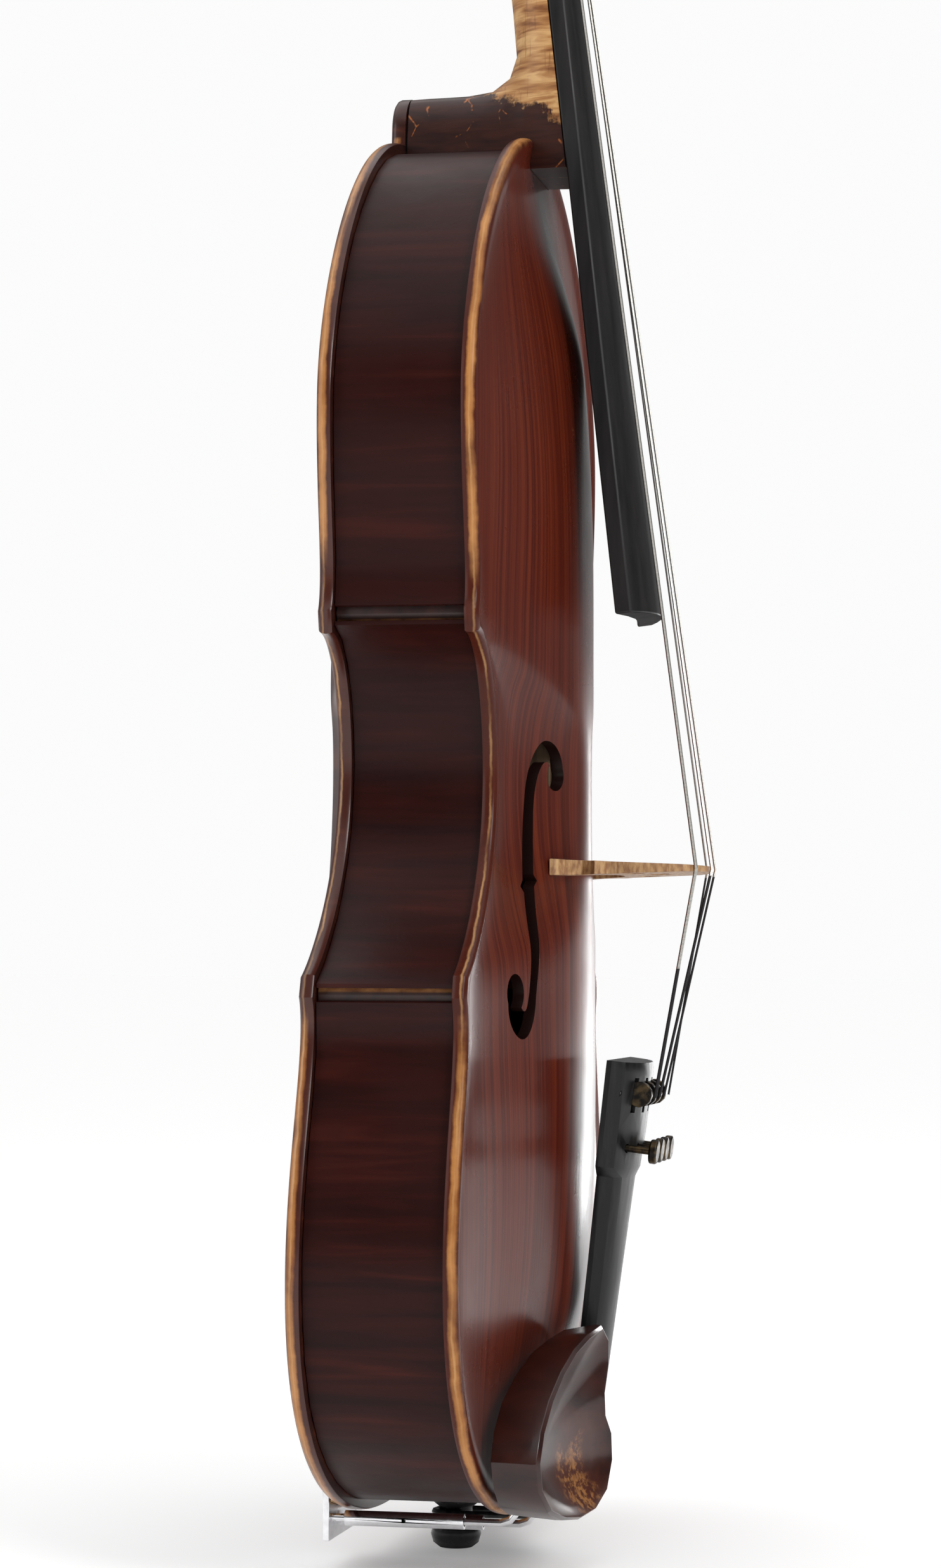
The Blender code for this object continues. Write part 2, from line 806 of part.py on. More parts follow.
def standing_prism(name, outline, side=1):
    """A block with a flat outline, as tall as the ribs."""
    near = [Vector((side * p.x, belly_side(p.y), p.y)) for p in outline]
    far = [Vector((side * p.x, back_side(p.y), p.y)) for p in outline]
    return loft(name, [near, far])


def make_blocks():
    colour = (0.62, 0.45, 0.27)
    low, mid, up = block_face_lines()
    meet_low = crossing(extended(low, CORNER_WIDTH), extended(mid, CORNER_WIDTH))
    meet_up = crossing(extended(up, CORNER_WIDTH), extended(mid, CORNER_WIDTH))
    reach = CORNER_BLOCK_LENGTH
    long_low, long_mid, long_up = [extended(line, CORNER_WIDTH) for line in (low, mid, up)]
    tip = 1.5 * MM
    along_low = piece_of(long_low, meet_low[0] - reach, meet_low[0] - tip, 4)
    along_mid = piece_of(long_mid, meet_low[1] + tip, meet_low[1] + reach, 4)
    down_up = piece_of(long_up, meet_up[0] + reach, meet_up[0] + tip, 4)
    down_mid = piece_of(long_mid, meet_up[1] - tip, meet_up[1] - reach, 4)
    for side, label in SIDE_NAMES.items():
        finish(standing_prism("corner_block_lower_" + label, along_low + along_mid, side), colour, 0.8)
        finish(standing_prism("corner_block_upper_" + label, down_up + down_mid, side), colour, 0.8)
    half = END_BLOCK_WIDTH / 2
    right = piece_of(low, distance_at_half(low, 0.0), distance_at_half(low, half), 4)
    depth = right[-1].y + END_BLOCK_DEPTH
    outline = [Vector((-p.x, p.y)) for p in reversed(right[1:])] + right
    end_block = standing_prism("end_block", outline + [Vector((half, depth)), Vector((-half, depth))])
    boolean(end_block, button_bore("button_bore_block", GAP))
    finish(end_block, colour, 0.8)
    half = TOP_BLOCK_WIDTH / 2
    right = piece_of(up, distance_at_half(up, half), distance_at_half(up, 0.0), 6)
    depth = right[0].y - TOP_BLOCK_DEPTH
    outline = right + [Vector((-p.x, p.y)) for p in reversed(right[:-1])]
    top_block = standing_prism("top_block", outline + [Vector((-half, depth)), Vector((half, depth))])
    boolean(top_block, mortise_cutter("top_block_mortise"))
    finish(top_block, colour, 0.8)


def make_linings():
    """Thin strips that widen the ribs' glue edges, between the blocks."""
    colour = (0.66, 0.50, 0.31)
    inset = OVERHANG + RIB_THICKNESS + LINING_CLEARANCE
    low, mid, up = [offset_line(line, inset) for line in bout_curves()]
    insides = [offset_line(line, inset + LINING_THICKNESS) for line in bout_curves()]
    reach = CORNER_BLOCK_LENGTH + 4 * GAP
    long_lines = [extended(line, CORNER_WIDTH) for line in (low, mid, up)]
    meet_low = crossing(long_lines[0], long_lines[1])
    meet_up = crossing(long_lines[2], long_lines[1])
    starts = (
        distance_at_half(low, END_BLOCK_WIDTH / 2 + 5 * GAP),
        meet_low[1] - CORNER_WIDTH + reach,
        meet_up[0] - CORNER_WIDTH + reach,
    )
    ends = (
        meet_low[0] - CORNER_WIDTH - reach,
        meet_up[1] - CORNER_WIDTH - reach,
        distance_at_half(up, TOP_BLOCK_WIDTH / 2 + 5 * GAP),
    )

    def belly_inner(level):
        return belly_side(level) + LINING_HEIGHT

    def back_inner(level):
        return back_side(level) - LINING_HEIGHT

    rows = zip(("lower", "centre", "upper"), (low, mid, up), insides, starts, ends, (10, 7, 9))
    for bout, outer, inner, start, end, count in rows:
        scale = line_length(inner) / line_length(outer)
        face = piece_of(outer, start, end, count)
        inside = piece_of(inner, start * scale, end * scale, count)
        for side, label in SIDE_NAMES.items():
            near = strip("lining_belly_" + bout + "_" + label, face, inside, side, belly_side, belly_inner)
            far = strip("lining_back_" + bout + "_" + label, face, inside, side, back_inner, back_side)
            finish(near, colour, 0.8)
            finish(far, colour, 0.8)


def make_bass_bar(belly_inside):
    """A long bar fitted under the bass side of the belly."""
    middle = BRIDGE_LEVEL + 12 * MM
    sections = []
    steps = 12
    for i in range(steps + 1):
        t = i / steps
        z = middle + (t - 0.5) * BASS_BAR_LENGTH
        depth = mix(3.0 * MM, BASS_BAR_DEPTH, math.sin(math.pi * t) ** 0.7)
        left = -BASS_BAR_OFFSET - BASS_BAR_THICKNESS / 2
        right = left + BASS_BAR_THICKNESS
        top_left = belly_inside(left, z) + 2 * GAP
        top_right = belly_inside(right, z) + 2 * GAP
        foot = max(top_left, top_right) + depth
        sections.append(
            [
                Vector((left, top_left, z)),
                Vector((left, foot, z)),
                Vector((right, foot, z)),
                Vector((right, top_right, z)),
            ]
        )
    finish(loft("bass_bar", sections), (0.70, 0.52, 0.31), 0.8)


def make_sound_post(belly_inside, back_inside):
    """The post stands between the plates, below the bridge's treble foot."""
    z = BRIDGE_LEVEL - SOUND_POST_SETBACK
    x = SOUND_POST_OFFSET
    r = SOUND_POST_RADIUS
    around = [(math.cos(a), math.sin(a)) for a in [math.tau * i / 12 for i in range(12)]]
    low = [Vector((x + r * c, belly_inside(x + r * c, z + r * s) + GAP, z + r * s)) for c, s in around]
    high = [Vector((x + r * c, back_inside(x + r * c, z + r * s) - GAP, z + r * s)) for c, s in around]
    finish(loft("sound_post", [low, high]), (0.72, 0.55, 0.33), 0.8)


# Neck, head and fingerboard

BOARD_FRAME = Matrix.Translation((0, -BOARD_RISE, BODY_LENGTH)) @ Matrix.Rotation(-BOARD_ANGLE, 4, "X")
HEAD_FRAME = (
    BOARD_FRAME
    @ Matrix.Translation((0, 0, NECK_LENGTH + NUT_LENGTH))
    @ Matrix.Rotation(-PEGBOX_ANGLE, 4, "X")
)
SCROLL_CENTRE = Vector((0, 2 * MM, PEGBOX_LENGTH + 14 * MM))
SCROLL_SHRINK = 0.085
SCROLL_DIP = 2.0 * MM
SCROLL_LAST_TURN = math.radians(900)


def board_half(level):
    """Half width of the fingerboard at a distance above the body's top edge."""
    return mix(NECK_NUT_HALF, BOARD_END_HALF, (NECK_LENGTH - level) / BOARD_LENGTH)


def board_top(x, level):
    """Height of the fingerboard's crowned face above its glue plane."""
    half = board_half(level)
    return BOARD_SIDE + math.sqrt(BOARD_RADIUS**2 - x**2) - math.sqrt(BOARD_RADIUS**2 - half**2)


def make_fingerboard():
    """Crowned on top, flat on the neck and hollow underneath where it stands free."""
    neck_end = -FOOT_DEPTH - 5 * GAP
    free = NECK_LENGTH - BOARD_LENGTH
    levels = [mix(NECK_LENGTH - GAP / 2, neck_end, i / 4) for i in range(5)]
    levels += [mix(neck_end - GAP, free, i / 4) for i in range(5)]
    sections = []
    for level in levels:
        half = board_half(level)
        hollow = 0.0 if level >= neck_end else BOARD_HOLLOW
        section = []
        for i in range(9):
            x = mix(-half, half, i / 8)
            section.append(BOARD_FRAME @ Vector((x, -board_top(x, level), level)))
        for i in range(5):
            x = mix(half, -half, i / 4)
            under = GAP / 2 + hollow * math.sin(math.pi * i / 4)
            section.append(BOARD_FRAME @ Vector((x, -under, level)))
        sections.append(section)
    finish(loft("fingerboard", sections), (0.012, 0.012, 0.013), 0.45)


def neck_section(front, back, power, half=None, count=12):
    """A D shape, flat from side to side at the front and round at the back."""
    section = []
    for i in range(count + 1):
        a = math.pi * i / count
        point = mix(front, back, abs(math.sin(a)) ** power)
        reach = heel_half(point.y) if half is None else half
        across = math.copysign(abs(math.cos(a)) ** power, math.cos(a)) * reach
        section.append(Vector((across, point.y, point.z)))
    return section


def neck_form():
    """The handle, and the heel that turns down into the body's mortise."""

    def handle(level, depth, half):
        front = BOARD_FRAME @ Vector((0, GAP / 2, level))
        back = BOARD_FRAME @ Vector((0, depth, level))
        return neck_section(front, back, 0.9, half)

    def heel(front, back, power):
        return neck_section(Vector((0, *front)), Vector((0, *back)), power)

    def glue_point(level):
        point = BOARD_FRAME @ Vector((0, GAP / 2, (level - BODY_LENGTH) / math.cos(BOARD_ANGLE)))
        return point.y, level

    foot = BODY_LENGTH - FOOT_DEPTH
    top = BODY_LENGTH + HEEL_HEIGHT
    end = rib_height(top) - GAP
    sections = [
        handle(NECK_LENGTH + NUT_LENGTH + 2 * MM, NECK_DEPTH_NUT, NECK_NUT_HALF),
        handle(0.68 * NECK_LENGTH, 11.8 * MM, 13.6 * MM),
        handle(0.42 * NECK_LENGTH, 12.8 * MM, 14.7 * MM),
        handle(0.28 * NECK_LENGTH, 12.8 * MM, 15.2 * MM),
        handle(0.19 * NECK_LENGTH, NECK_DEPTH_ROOT, 15.6 * MM),
        heel(glue_point(top + 0.3 * MM), (0.15 * end, top + 4.8 * MM), 0.85),
        heel(glue_point(BODY_LENGTH + 6 * MM), (0.30 * end, top + 1.0 * MM), 0.75),
        heel(glue_point(foot), (0.51 * end, top + GAP / 3), 0.62),
        heel((-0.06 * end, foot), (0.68 * end, top), 0.62),
        heel((0.46 * end, foot), (0.85 * end, top), 0.62),
        heel((end, foot), (end, top - GAP / 2), 0.62),
    ]
    return loft("neck", sections)


def pegbox_half(level):
    return mix(12.9 * MM, PEGBOX_THROAT_HALF + 0.6 * MM, level / (PEG_FIRST + 3 * PEG_PITCH))


def pegbox_form():
    """The solid pegbox, deepest below the middle and drawn in at the throat."""
    last = PEG_FIRST + 3 * PEG_PITCH
    rows = (
        (-5 * MM, 1.6 * MM, 11.5 * MM),
        (0.0, 0.2 * MM, 13.0 * MM),
        (0.25 * last, 0.9 * MM, 20.0 * MM),
        (0.50 * last, 1.6 * MM, 23.0 * MM),
        (0.75 * last, 2.4 * MM, 22.0 * MM),
        (last, 3.1 * MM, 18.8 * MM),
        (PEGBOX_LENGTH - 2 * MM, 3.6 * MM, 15.8 * MM),
        (PEGBOX_LENGTH + 5 * MM, 2.5 * MM, 14.0 * MM),
    )
    sections = []
    for level, front, back in rows:
        half = pegbox_half(level)
        soft = 2.4 * MM
        outline = (
            (-half, front),
            (-half, back - soft),
            (-half + soft, back),
            (half - soft, back),
            (half, back - soft),
            (half, front),
        )
        sections.append([HEAD_FRAME @ Vector((x, y, level)) for x, y in outline])
    return loft("pegbox_body", sections)


def pegbox_cavity():
    last = PEG_FIRST + 3 * PEG_PITCH
    rows = (
        (3 * MM, 8.0 * MM),
        (0.2 * last, 16.6 * MM),
        (0.5 * last, 18.4 * MM),
        (0.85 * last, 17.6 * MM),
        (last, 16.8 * MM),
        (last + 6.5 * MM, 14.0 * MM),
    )
    sections = []
    for level, floor in rows:
        half = pegbox_half(level) - PEGBOX_WALL + 0.6 * MM
        corners = ((-half, -4 * MM), (half, -4 * MM), (half - MM, floor), (-half + MM, floor))
        sections.append([HEAD_FRAME @ Vector((x, y, level)) for x, y in corners])
    return loft("pegbox_cavity", sections)


def scroll_fan(name, start, end, steps, swell):
    """One turn of the scroll, as a fan of sections about its axis."""
    sections = []
    for i in range(steps + 1):
        turn = math.radians(mix(start, end, i / steps))
        radius = SCROLL_RADIUS * math.exp(-SCROLL_SHRINK * turn) + swell
        half = mix(PEGBOX_THROAT_HALF, SCROLL_EYE_HALF, max(turn, 0.0) / SCROLL_LAST_TURN) + swell
        low = half - SCROLL_DIP
        ahead = Vector((0, math.cos(turn), math.sin(turn)))
        outline = (
            (0.8 * MM, -low),
            (0.62 * radius, -low),
            (radius, -half),
            (radius, half),
            (0.62 * radius, low),
            (0.8 * MM, low),
        )
        points = [SCROLL_CENTRE + ahead * r + Vector((x, 0, 0)) for r, x in outline]
        sections.append([HEAD_FRAME @ point for point in points])
    return loft(name, sections)


def peg_centre(index):
    return HEAD_FRAME @ Vector((0, PEG_DEPTH, PEG_FIRST + index * PEG_PITCH))


# Pegs in their order from the nut: string, side of the head, how far it is turned
PEGS = (("c", -1, 25.0), ("a", 1, -35.0), ("g", -1, 60.0), ("d", 1, 10.0))


def make_neck():
    neck = neck_form()
    boolean(neck, pegbox_form(), "UNION")
    boolean(neck, scroll_fan("scroll_first_turn", -60, 285, 14, 0.0), "UNION")
    boolean(neck, scroll_fan("scroll_second_turn", 270, 615, 14, 0.12 * MM), "UNION")
    boolean(neck, scroll_fan("scroll_third_turn", 600, 900, 12, 0.24 * MM), "UNION")
    eye_half = SCROLL_EYE_HALF + MM
    eye = rod(
        "scroll_eye",
        HEAD_FRAME @ (SCROLL_CENTRE - Vector((eye_half, 0, 0))),
        HEAD_FRAME @ (SCROLL_CENTRE + Vector((eye_half, 0, 0))),
        SCROLL_EYE_RADIUS,
        sides=12,
    )
    boolean(neck, eye, "UNION")
    boolean(neck, pegbox_cavity())
    for index, (label, side, turn) in enumerate(PEGS):
        reach = Vector((side * 16 * MM, 0, 0))
        hole = rod(
            "peg_hole_" + label,
            peg_centre(index) - reach,
            peg_centre(index) + reach,
            PEG_RADIUS_THIN + GAP,
            sides=16,
            end_radius=PEG_RADIUS_THICK + GAP,
        )
        boolean(neck, hole)
    finish(neck, (0.42, 0.22, 0.09), 0.4)


def pivot(item, point):
    """Move an object's origin to a point of its joint's axis, leaving its form in place."""
    item.data.transform(Matrix.Translation(-point))
    item.location = point
    return item


def make_pegs():
    """Tapered shafts with a collar and a flat leaf shaped head."""
    for index, (label, side, turn) in enumerate(PEGS):
        cheek = pegbox_half(PEG_FIRST + index * PEG_PITCH)
        centre = peg_centre(index)
        far = -2 * cheek - 3.5 * MM
        head = 5.5 * MM
        rows = (
            (far - MM, 2.8 * MM, 2.8 * MM),
            (far, PEG_RADIUS_THIN, PEG_RADIUS_THIN),
            (2.5 * MM, PEG_RADIUS_THICK, PEG_RADIUS_THICK),
            (2.8 * MM, 5.8 * MM, 5.8 * MM),
            (4.8 * MM, 5.8 * MM, 5.8 * MM),
            (head, 3.4 * MM, 3.4 * MM),
            (head + 0.16 * PEG_HEAD_LENGTH, 0.45 * PEG_HEAD_HALF, 3.3 * MM),
            (head + 0.40 * PEG_HEAD_LENGTH, 0.92 * PEG_HEAD_HALF, 3.0 * MM),
            (head + 0.65 * PEG_HEAD_LENGTH, PEG_HEAD_HALF, 2.7 * MM),
            (head + 0.88 * PEG_HEAD_LENGTH, 0.75 * PEG_HEAD_HALF, 2.2 * MM),
            (head + PEG_HEAD_LENGTH, 0.28 * PEG_HEAD_HALF, 1.5 * MM),
        )
        tilt = Matrix.Rotation(math.radians(turn), 3, "X")
        sections = []
        for out, tall, thick in rows:
            section = []
            for i in range(12):
                a = math.tau * i / 12
                spoke = tilt @ Vector((0, thick * math.cos(a), tall * math.sin(a)))
                section.append(centre + Vector((side * (cheek + out), 0, 0)) + spoke)
            sections.append(section)
        peg = pivot(loft("peg_" + label, sections), centre)
        finish(peg, (0.02, 0.015, 0.012), 0.3)


def make_nut():
    """An ebony block whose crowned top follows the strings and falls away to the pegs."""
    front = NECK_LENGTH + GAP / 2
    rows = ((front, 0.0), (NECK_LENGTH + NUT_LENGTH / 2, 0.0), (NECK_LENGTH + NUT_LENGTH, 3.4 * MM))
    sections = []
    for level, drop in rows:
        section = []
        for i in range(9):
            x = mix(-NECK_NUT_HALF, NECK_NUT_HALF, i / 8)
            rise = board_top(x, NECK_LENGTH) + NUT_LIFT - GAP - drop
            section.append(BOARD_FRAME @ Vector((x, -rise, level)))
        section.append(BOARD_FRAME @ Vector((NECK_NUT_HALF, -GAP / 2, level)))
        section.append(BOARD_FRAME @ Vector((-NECK_NUT_HALF, -GAP / 2, level)))
        sections.append(section)
    finish(loft("nut", sections), (0.015, 0.013, 0.012), 0.35)


# Strings and bridge

STRING_NAMES = ("c", "g", "d", "a")


def string_rests(index):
    """Where a string's centre lies over the nut and over the bridge."""
    radius = STRING_RADII[index]
    share = index / 3
    nut_x = mix(-NUT_SPREAD / 2, NUT_SPREAD / 2, share)
    bridge_x = mix(-BRIDGE_SPREAD / 2, BRIDGE_SPREAD / 2, share)
    start = NECK_LENGTH + NUT_LENGTH / 2
    end = NECK_LENGTH - BOARD_LENGTH
    bridge_reach = (BODY_LENGTH - BRIDGE_LEVEL) / math.cos(BOARD_ANGLE)
    end_x = mix(nut_x, bridge_x, (start - end) / (start + bridge_reach))
    nut = Vector((nut_x, -board_top(nut_x, NECK_LENGTH) - NUT_LIFT - radius, start))
    over = Vector((end_x, -board_top(end_x, end) - STRING_CLEARANCES[index] - radius, end))
    nut, over = BOARD_FRAME @ nut, BOARD_FRAME @ over
    bridge = mix(nut, over, (BRIDGE_LEVEL - nut.z) / (over.z - nut.z))
    return nut, bridge


def peg_turns(index, nut):
    """A string's path from the nut to its peg, and two turns round the peg."""
    order = [label for label, side, turn in PEGS].index(STRING_NAMES[index])
    side = PEGS[order][1]
    radius = PEG_RADIUS_THICK + GAP + STRING_RADII[index]
    start = HEAD_FRAME.inverted() @ nut
    level = PEG_FIRST + order * PEG_PITCH
    away = Vector((PEG_DEPTH - start.y, start.z - level))
    first = math.atan2(away.y, away.x) + math.acos(radius / away.length)
    pitch = 2 * STRING_RADII[index] + 0.6 * MM
    room = pegbox_half(level) - PEGBOX_WALL - MM
    points = []
    for i in range(25):
        turn = first + math.tau * i / 12
        x = side * (room - pitch * i / 12)
        flat = Vector((x, PEG_DEPTH - radius * math.cos(turn), level + radius * math.sin(turn)))
        points.append(HEAD_FRAME @ flat)
    return points


def least_gap(points, radius):
    """Least clear distance between parts of a winding that aren't neighbours."""
    least = BODY_LENGTH
    for i, first in enumerate(points):
        for second in points[i + 8 :]:
            least = min(least, (first - second).length - 2 * radius)
    return least


def make_strings():
    for index, label in enumerate(STRING_NAMES):
        radius = STRING_RADII[index]
        nut, bridge = string_rests(index)
        turns = peg_turns(index, nut)
        top = LEVER_CENTRE + LEVER_RADIUS + GAP + radius
        hold = TAIL_FRAME @ Vector((tuner_x(index), top, LEVER_SET + 0.4 * MM))
        string = tube("string_" + label, [hold, bridge, nut] + turns, radius, resolution=1)
        finish(string, (0.55, 0.55, 0.56), 0.3, metallic=1.0, smooth=0)
        print("string_" + label, "least gap between turns in mm", round(least_gap(turns, radius) / MM, 2))


def make_bridge(belly_outside):
    """The maple bridge: two feet, a waist, a heart and two side openings."""
    crest = []
    for index in range(4):
        rest = string_rests(index)[1]
        crest.append(Vector((rest.x, -rest.y - STRING_RADII[index] - GAP)))
    left = [
        crest[0] + Vector((-4.4 * MM, -3.4 * MM)),
        crest[0] + Vector((-3.4 * MM, -1.4 * MM)),
        crest[0],
        mix(crest[0], crest[1], 0.5) + Vector((0, 0.8 * MM)),
        crest[1],
    ]
    right = [
        crest[2],
        mix(crest[2], crest[3], 0.5) + Vector((0, 0.8 * MM)),
        crest[3],
        crest[3] + Vector((3.4 * MM, -1.4 * MM)),
        crest[3] + Vector((4.4 * MM, -3.4 * MM)),
    ]
    top = left + [mix(crest[1], crest[2], 0.5) + Vector((0, 0.3 * MM))] + right
    inner = (BRIDGE_FOOT_SPREAD - BRIDGE_FOOT_WIDTH) / 2
    outer = (BRIDGE_FOOT_SPREAD + BRIDGE_FOOT_WIDTH) / 2

    def floor(x):
        levels = [BRIDGE_LEVEL + share * BRIDGE_THICKNESS_LOW / 2 for share in (-1, 0, 1)]
        return max(-belly_outside(x, level) for level in levels) + 1.4 * GAP

    def side_line(side):
        """From the foot's outer toe up to the crest."""
        toe = floor(side * outer)
        spots = (
            (outer, toe),
            (outer - 0.3 * MM, toe + 1.6 * MM),
            (outer - 5.5 * MM, toe + 4.6 * MM),
            (outer - 8.0 * MM, toe + 8.2 * MM),
            (outer - 6.6 * MM, toe + 11.2 * MM),
            (outer - 3.8 * MM, toe + 12.6 * MM),
            (outer - 5.0 * MM, toe + 14.4 * MM),
            (outer - 7.6 * MM, toe + 16.0 * MM),
            (outer - 7.2 * MM, toe + 20.0 * MM),
        )
        return [Vector((side * x, v)) for x, v in spots]

    def foot_line(side):
        """Along the sole from the inner heel to the outer toe."""
        return [Vector((side * x, floor(side * x))) for x in [mix(inner, outer, i / 4) for i in range(4)]]

    middle = floor(0.0)
    arch = [
        Vector((inner - 0.6 * MM, floor(inner) + 3.2 * MM)),
        Vector((inner - 4.5 * MM, middle + 6.6 * MM)),
        Vector((inner - 10.0 * MM, middle + 8.8 * MM)),
    ]
    mirrored = [Vector((-p.x, p.y)) for p in arch]
    loop = foot_line(1) + side_line(1) + list(reversed(top))
    loop += list(reversed(side_line(-1))) + list(reversed(foot_line(-1)))
    loop += mirrored + [Vector((0, middle + 9.6 * MM))] + list(reversed(arch))
    heart_base = middle + 15.0 * MM
    heart = [
        Vector((x * MM, heart_base + v * MM))
        for x, v in (
            (0, 0), (2.2, 2.6), (4.6, 4.2), (5.6, 6.6), (4.4, 8.8),
            (2.0, 8.6), (0, 6.6), (-2.0, 8.6), (-4.4, 8.8), (-5.6, 6.6), (-4.6, 4.2), (-2.2, 2.6),
        )
    ]
    loops = [loop, heart]
    for side in (1, -1):
        eye = Vector((side * 14.6 * MM, middle + 15.0 * MM))
        kidney = ((0, -3.4), (2.6, -2.8), (4.4, -0.4), (3.6, 2.6), (0.8, 3.8), (-2.2, 2.6), (-2.8, -0.8))
        loops.append([eye + Vector((side * x, v)) * MM for x, v in kidney])
    place = Matrix.Translation((0, 0, BRIDGE_LEVEL)) @ Matrix.Rotation(math.pi, 4, "X")
    bridge = flat_shape("bridge", loops, BRIDGE_THICKNESS_LOW / 2, place)
    low, high = floor(outer), max(p.y for p in crest)
    for vertex in bridge.data.vertices:
        reach = (-vertex.co.y - low) / (high - low)
        half = mix(BRIDGE_THICKNESS_LOW, BRIDGE_THICKNESS_TOP, reach) / 2
        vertex.co.z = BRIDGE_LEVEL + math.copysign(half, vertex.co.z - BRIDGE_LEVEL)
    finish(bridge, (0.52, 0.33, 0.16), 0.5)


# Tailpiece and tuners

TAIL_FALL = math.asin((TAILPIECE_LIFT_TOP - TAILPIECE_LIFT_LOW) / TAILPIECE_LENGTH)
# Local axes: X across, Y outward from the belly, Z along the tailpiece towards the saddle
TAIL_FRAME = Matrix(
    (
        (1, 0, 0, 0),
        (0, -math.cos(TAIL_FALL), math.sin(TAIL_FALL), -TAILPIECE_LIFT_TOP),
        (0, -math.sin(TAIL_FALL), -math.cos(TAIL_FALL), TAILPIECE_TOP_LEVEL),
        (0, 0, 0, 1),
    )
)
LEVER_CENTRE = 8.0 * MM
LEVER_PIVOT = 2.5 * MM
LEVER_ARM_TOP = 3.2 * MM
PIN_RADIUS = 0.9 * MM
TAILPIECE_SKIRT = 1.5 * MM
KNOB_LEVEL = 13.0 * MM


def tuner_x(index):
    return (index - 1.5) * TAIL_STRING_PITCH


def tail_arc(half, height, t, count=8):
    """The crowned top of a tailpiece section, from side to side."""
    points = []
    for i in range(count + 1):
        a = math.pi * i / count
        points.append(TAIL_FRAME @ Vector((-half * math.cos(a), height * abs(math.sin(a)) ** 0.8, t)))
    return points


def make_tailpiece():
    """A hollow headed tailpiece, with slots for the levers and holes for their screws."""
    tail = TAILPIECE_TAIL_HALF
    neck_end = TUNER_SET + 9 * MM
    rest = TAILPIECE_LENGTH - neck_end
    tall = TAILPIECE_HEIGHT
    rows = (
        (0.0, TAILPIECE_HEAD_HALF, 0.93 * tall),
        (3 * MM, TAILPIECE_HEAD_HALF, tall),
        (TUNER_SET - 5 * MM, 0.955 * TAILPIECE_HEAD_HALF, 0.98 * tall),
        (TUNER_SET + 6 * MM, 0.91 * TAILPIECE_HEAD_HALF, 0.93 * tall),
        (neck_end, tail + 5.5 * MM, 0.82 * tall),
        (neck_end + 0.29 * rest, tail + 2.8 * MM, 0.77 * tall),
        (neck_end + 0.68 * rest, tail + 0.8 * MM, 0.70 * tall),
        (TAILPIECE_LENGTH - 5 * MM, tail - 0.5 * MM, 0.62 * tall),
        (TAILPIECE_LENGTH, tail - 3 * MM, 0.50 * tall),
    )
    sections = []
    for t, half, height in rows:
        under = [
            TAIL_FRAME @ Vector((half, -TAILPIECE_SKIRT, t)),
            TAIL_FRAME @ Vector((-half, -TAILPIECE_SKIRT, t)),
        ]
        sections.append(tail_arc(half, height, t) + under)
    tailpiece = loft("tailpiece", sections)
    inside = TAILPIECE_HEAD_HALF - 3.5 * MM
    pocket = []
    for t in (3.6 * MM, TUNER_SET + 5.4 * MM):
        under = [TAIL_FRAME @ Vector((s * inside, -6 * MM, t)) for s in (1, -1)]
        pocket.append(tail_arc(inside, tall - TAILPIECE_WALL - 0.4 * MM, t) + under)
    boolean(tailpiece, loft("tailpiece_pocket", pocket))
    for index, label in enumerate(STRING_NAMES):
        x = tuner_x(index)
        half = LEVER_THICKNESS / 2 + 0.4 * MM
        low = LEVER_SET - LEVER_RADIUS - 0.8 * MM
        high = LEVER_SET + LEVER_RADIUS + 1.8 * MM
        slot = box("lever_slot_" + label, (x - half, -MM, low), (x + half, 2 * tall, high))
        slot.data.transform(TAIL_FRAME)
        boolean(tailpiece, slot)
        hole = rod(
            "tuner_hole_" + label,
            TAIL_FRAME @ Vector((x, 0, TUNER_SET)),
            TAIL_FRAME @ Vector((x, 2 * tall, TUNER_SET)),
            TUNER_STEM_RADIUS + GAP,
            sides=12,
        )
        boolean(tailpiece, hole)
    bore = rod(
        "pivot_bore",
        TAIL_FRAME @ Vector((-inside - 1.8 * MM, LEVER_PIVOT, LEVER_SET)),
        TAIL_FRAME @ Vector((inside + 1.8 * MM, LEVER_PIVOT, LEVER_SET)),
        PIN_RADIUS + GAP,
        sides=12,
    )
    boolean(tailpiece, bore)
    for side in (1, -1):
        x = side * GUT_HALF
        gut_bore = rod(
            "gut_bore_" + SIDE_NAMES[side],
            TAIL_FRAME @ Vector((x, GUT_LEVEL, TAILPIECE_LENGTH - 11 * MM)),
            TAIL_FRAME @ Vector((x, GUT_LEVEL, TAILPIECE_LENGTH + 2 * MM)),
            TAIL_GUT_RADIUS + GAP,
            sides=12,
        )
        boolean(tailpiece, gut_bore)
    finish(tailpiece, (0.012, 0.012, 0.013), 0.3)


def lever_outline():
    """Seen from the side: a round head, a pivot below it and a long arm."""
    arm_end = TUNER_SET + 2 * MM
    points = [Vector((MM, arm_end)), Vector((LEVER_ARM_TOP, arm_end)), Vector((LEVER_ARM_TOP, LEVER_SET + 3.6 * MM))]
    centre = Vector((LEVER_CENTRE, LEVER_SET))
    points += eye_arc(centre, LEVER_RADIUS, 140, -140, 10)
    pivot_point = Vector((LEVER_PIVOT, LEVER_SET))
    points += eye_arc(pivot_point, 2.4 * MM, -110, -215, 4)
    hole = eye_arc(pivot_point, PIN_RADIUS + GAP, 0, 330, 11)
    return [points, hole]


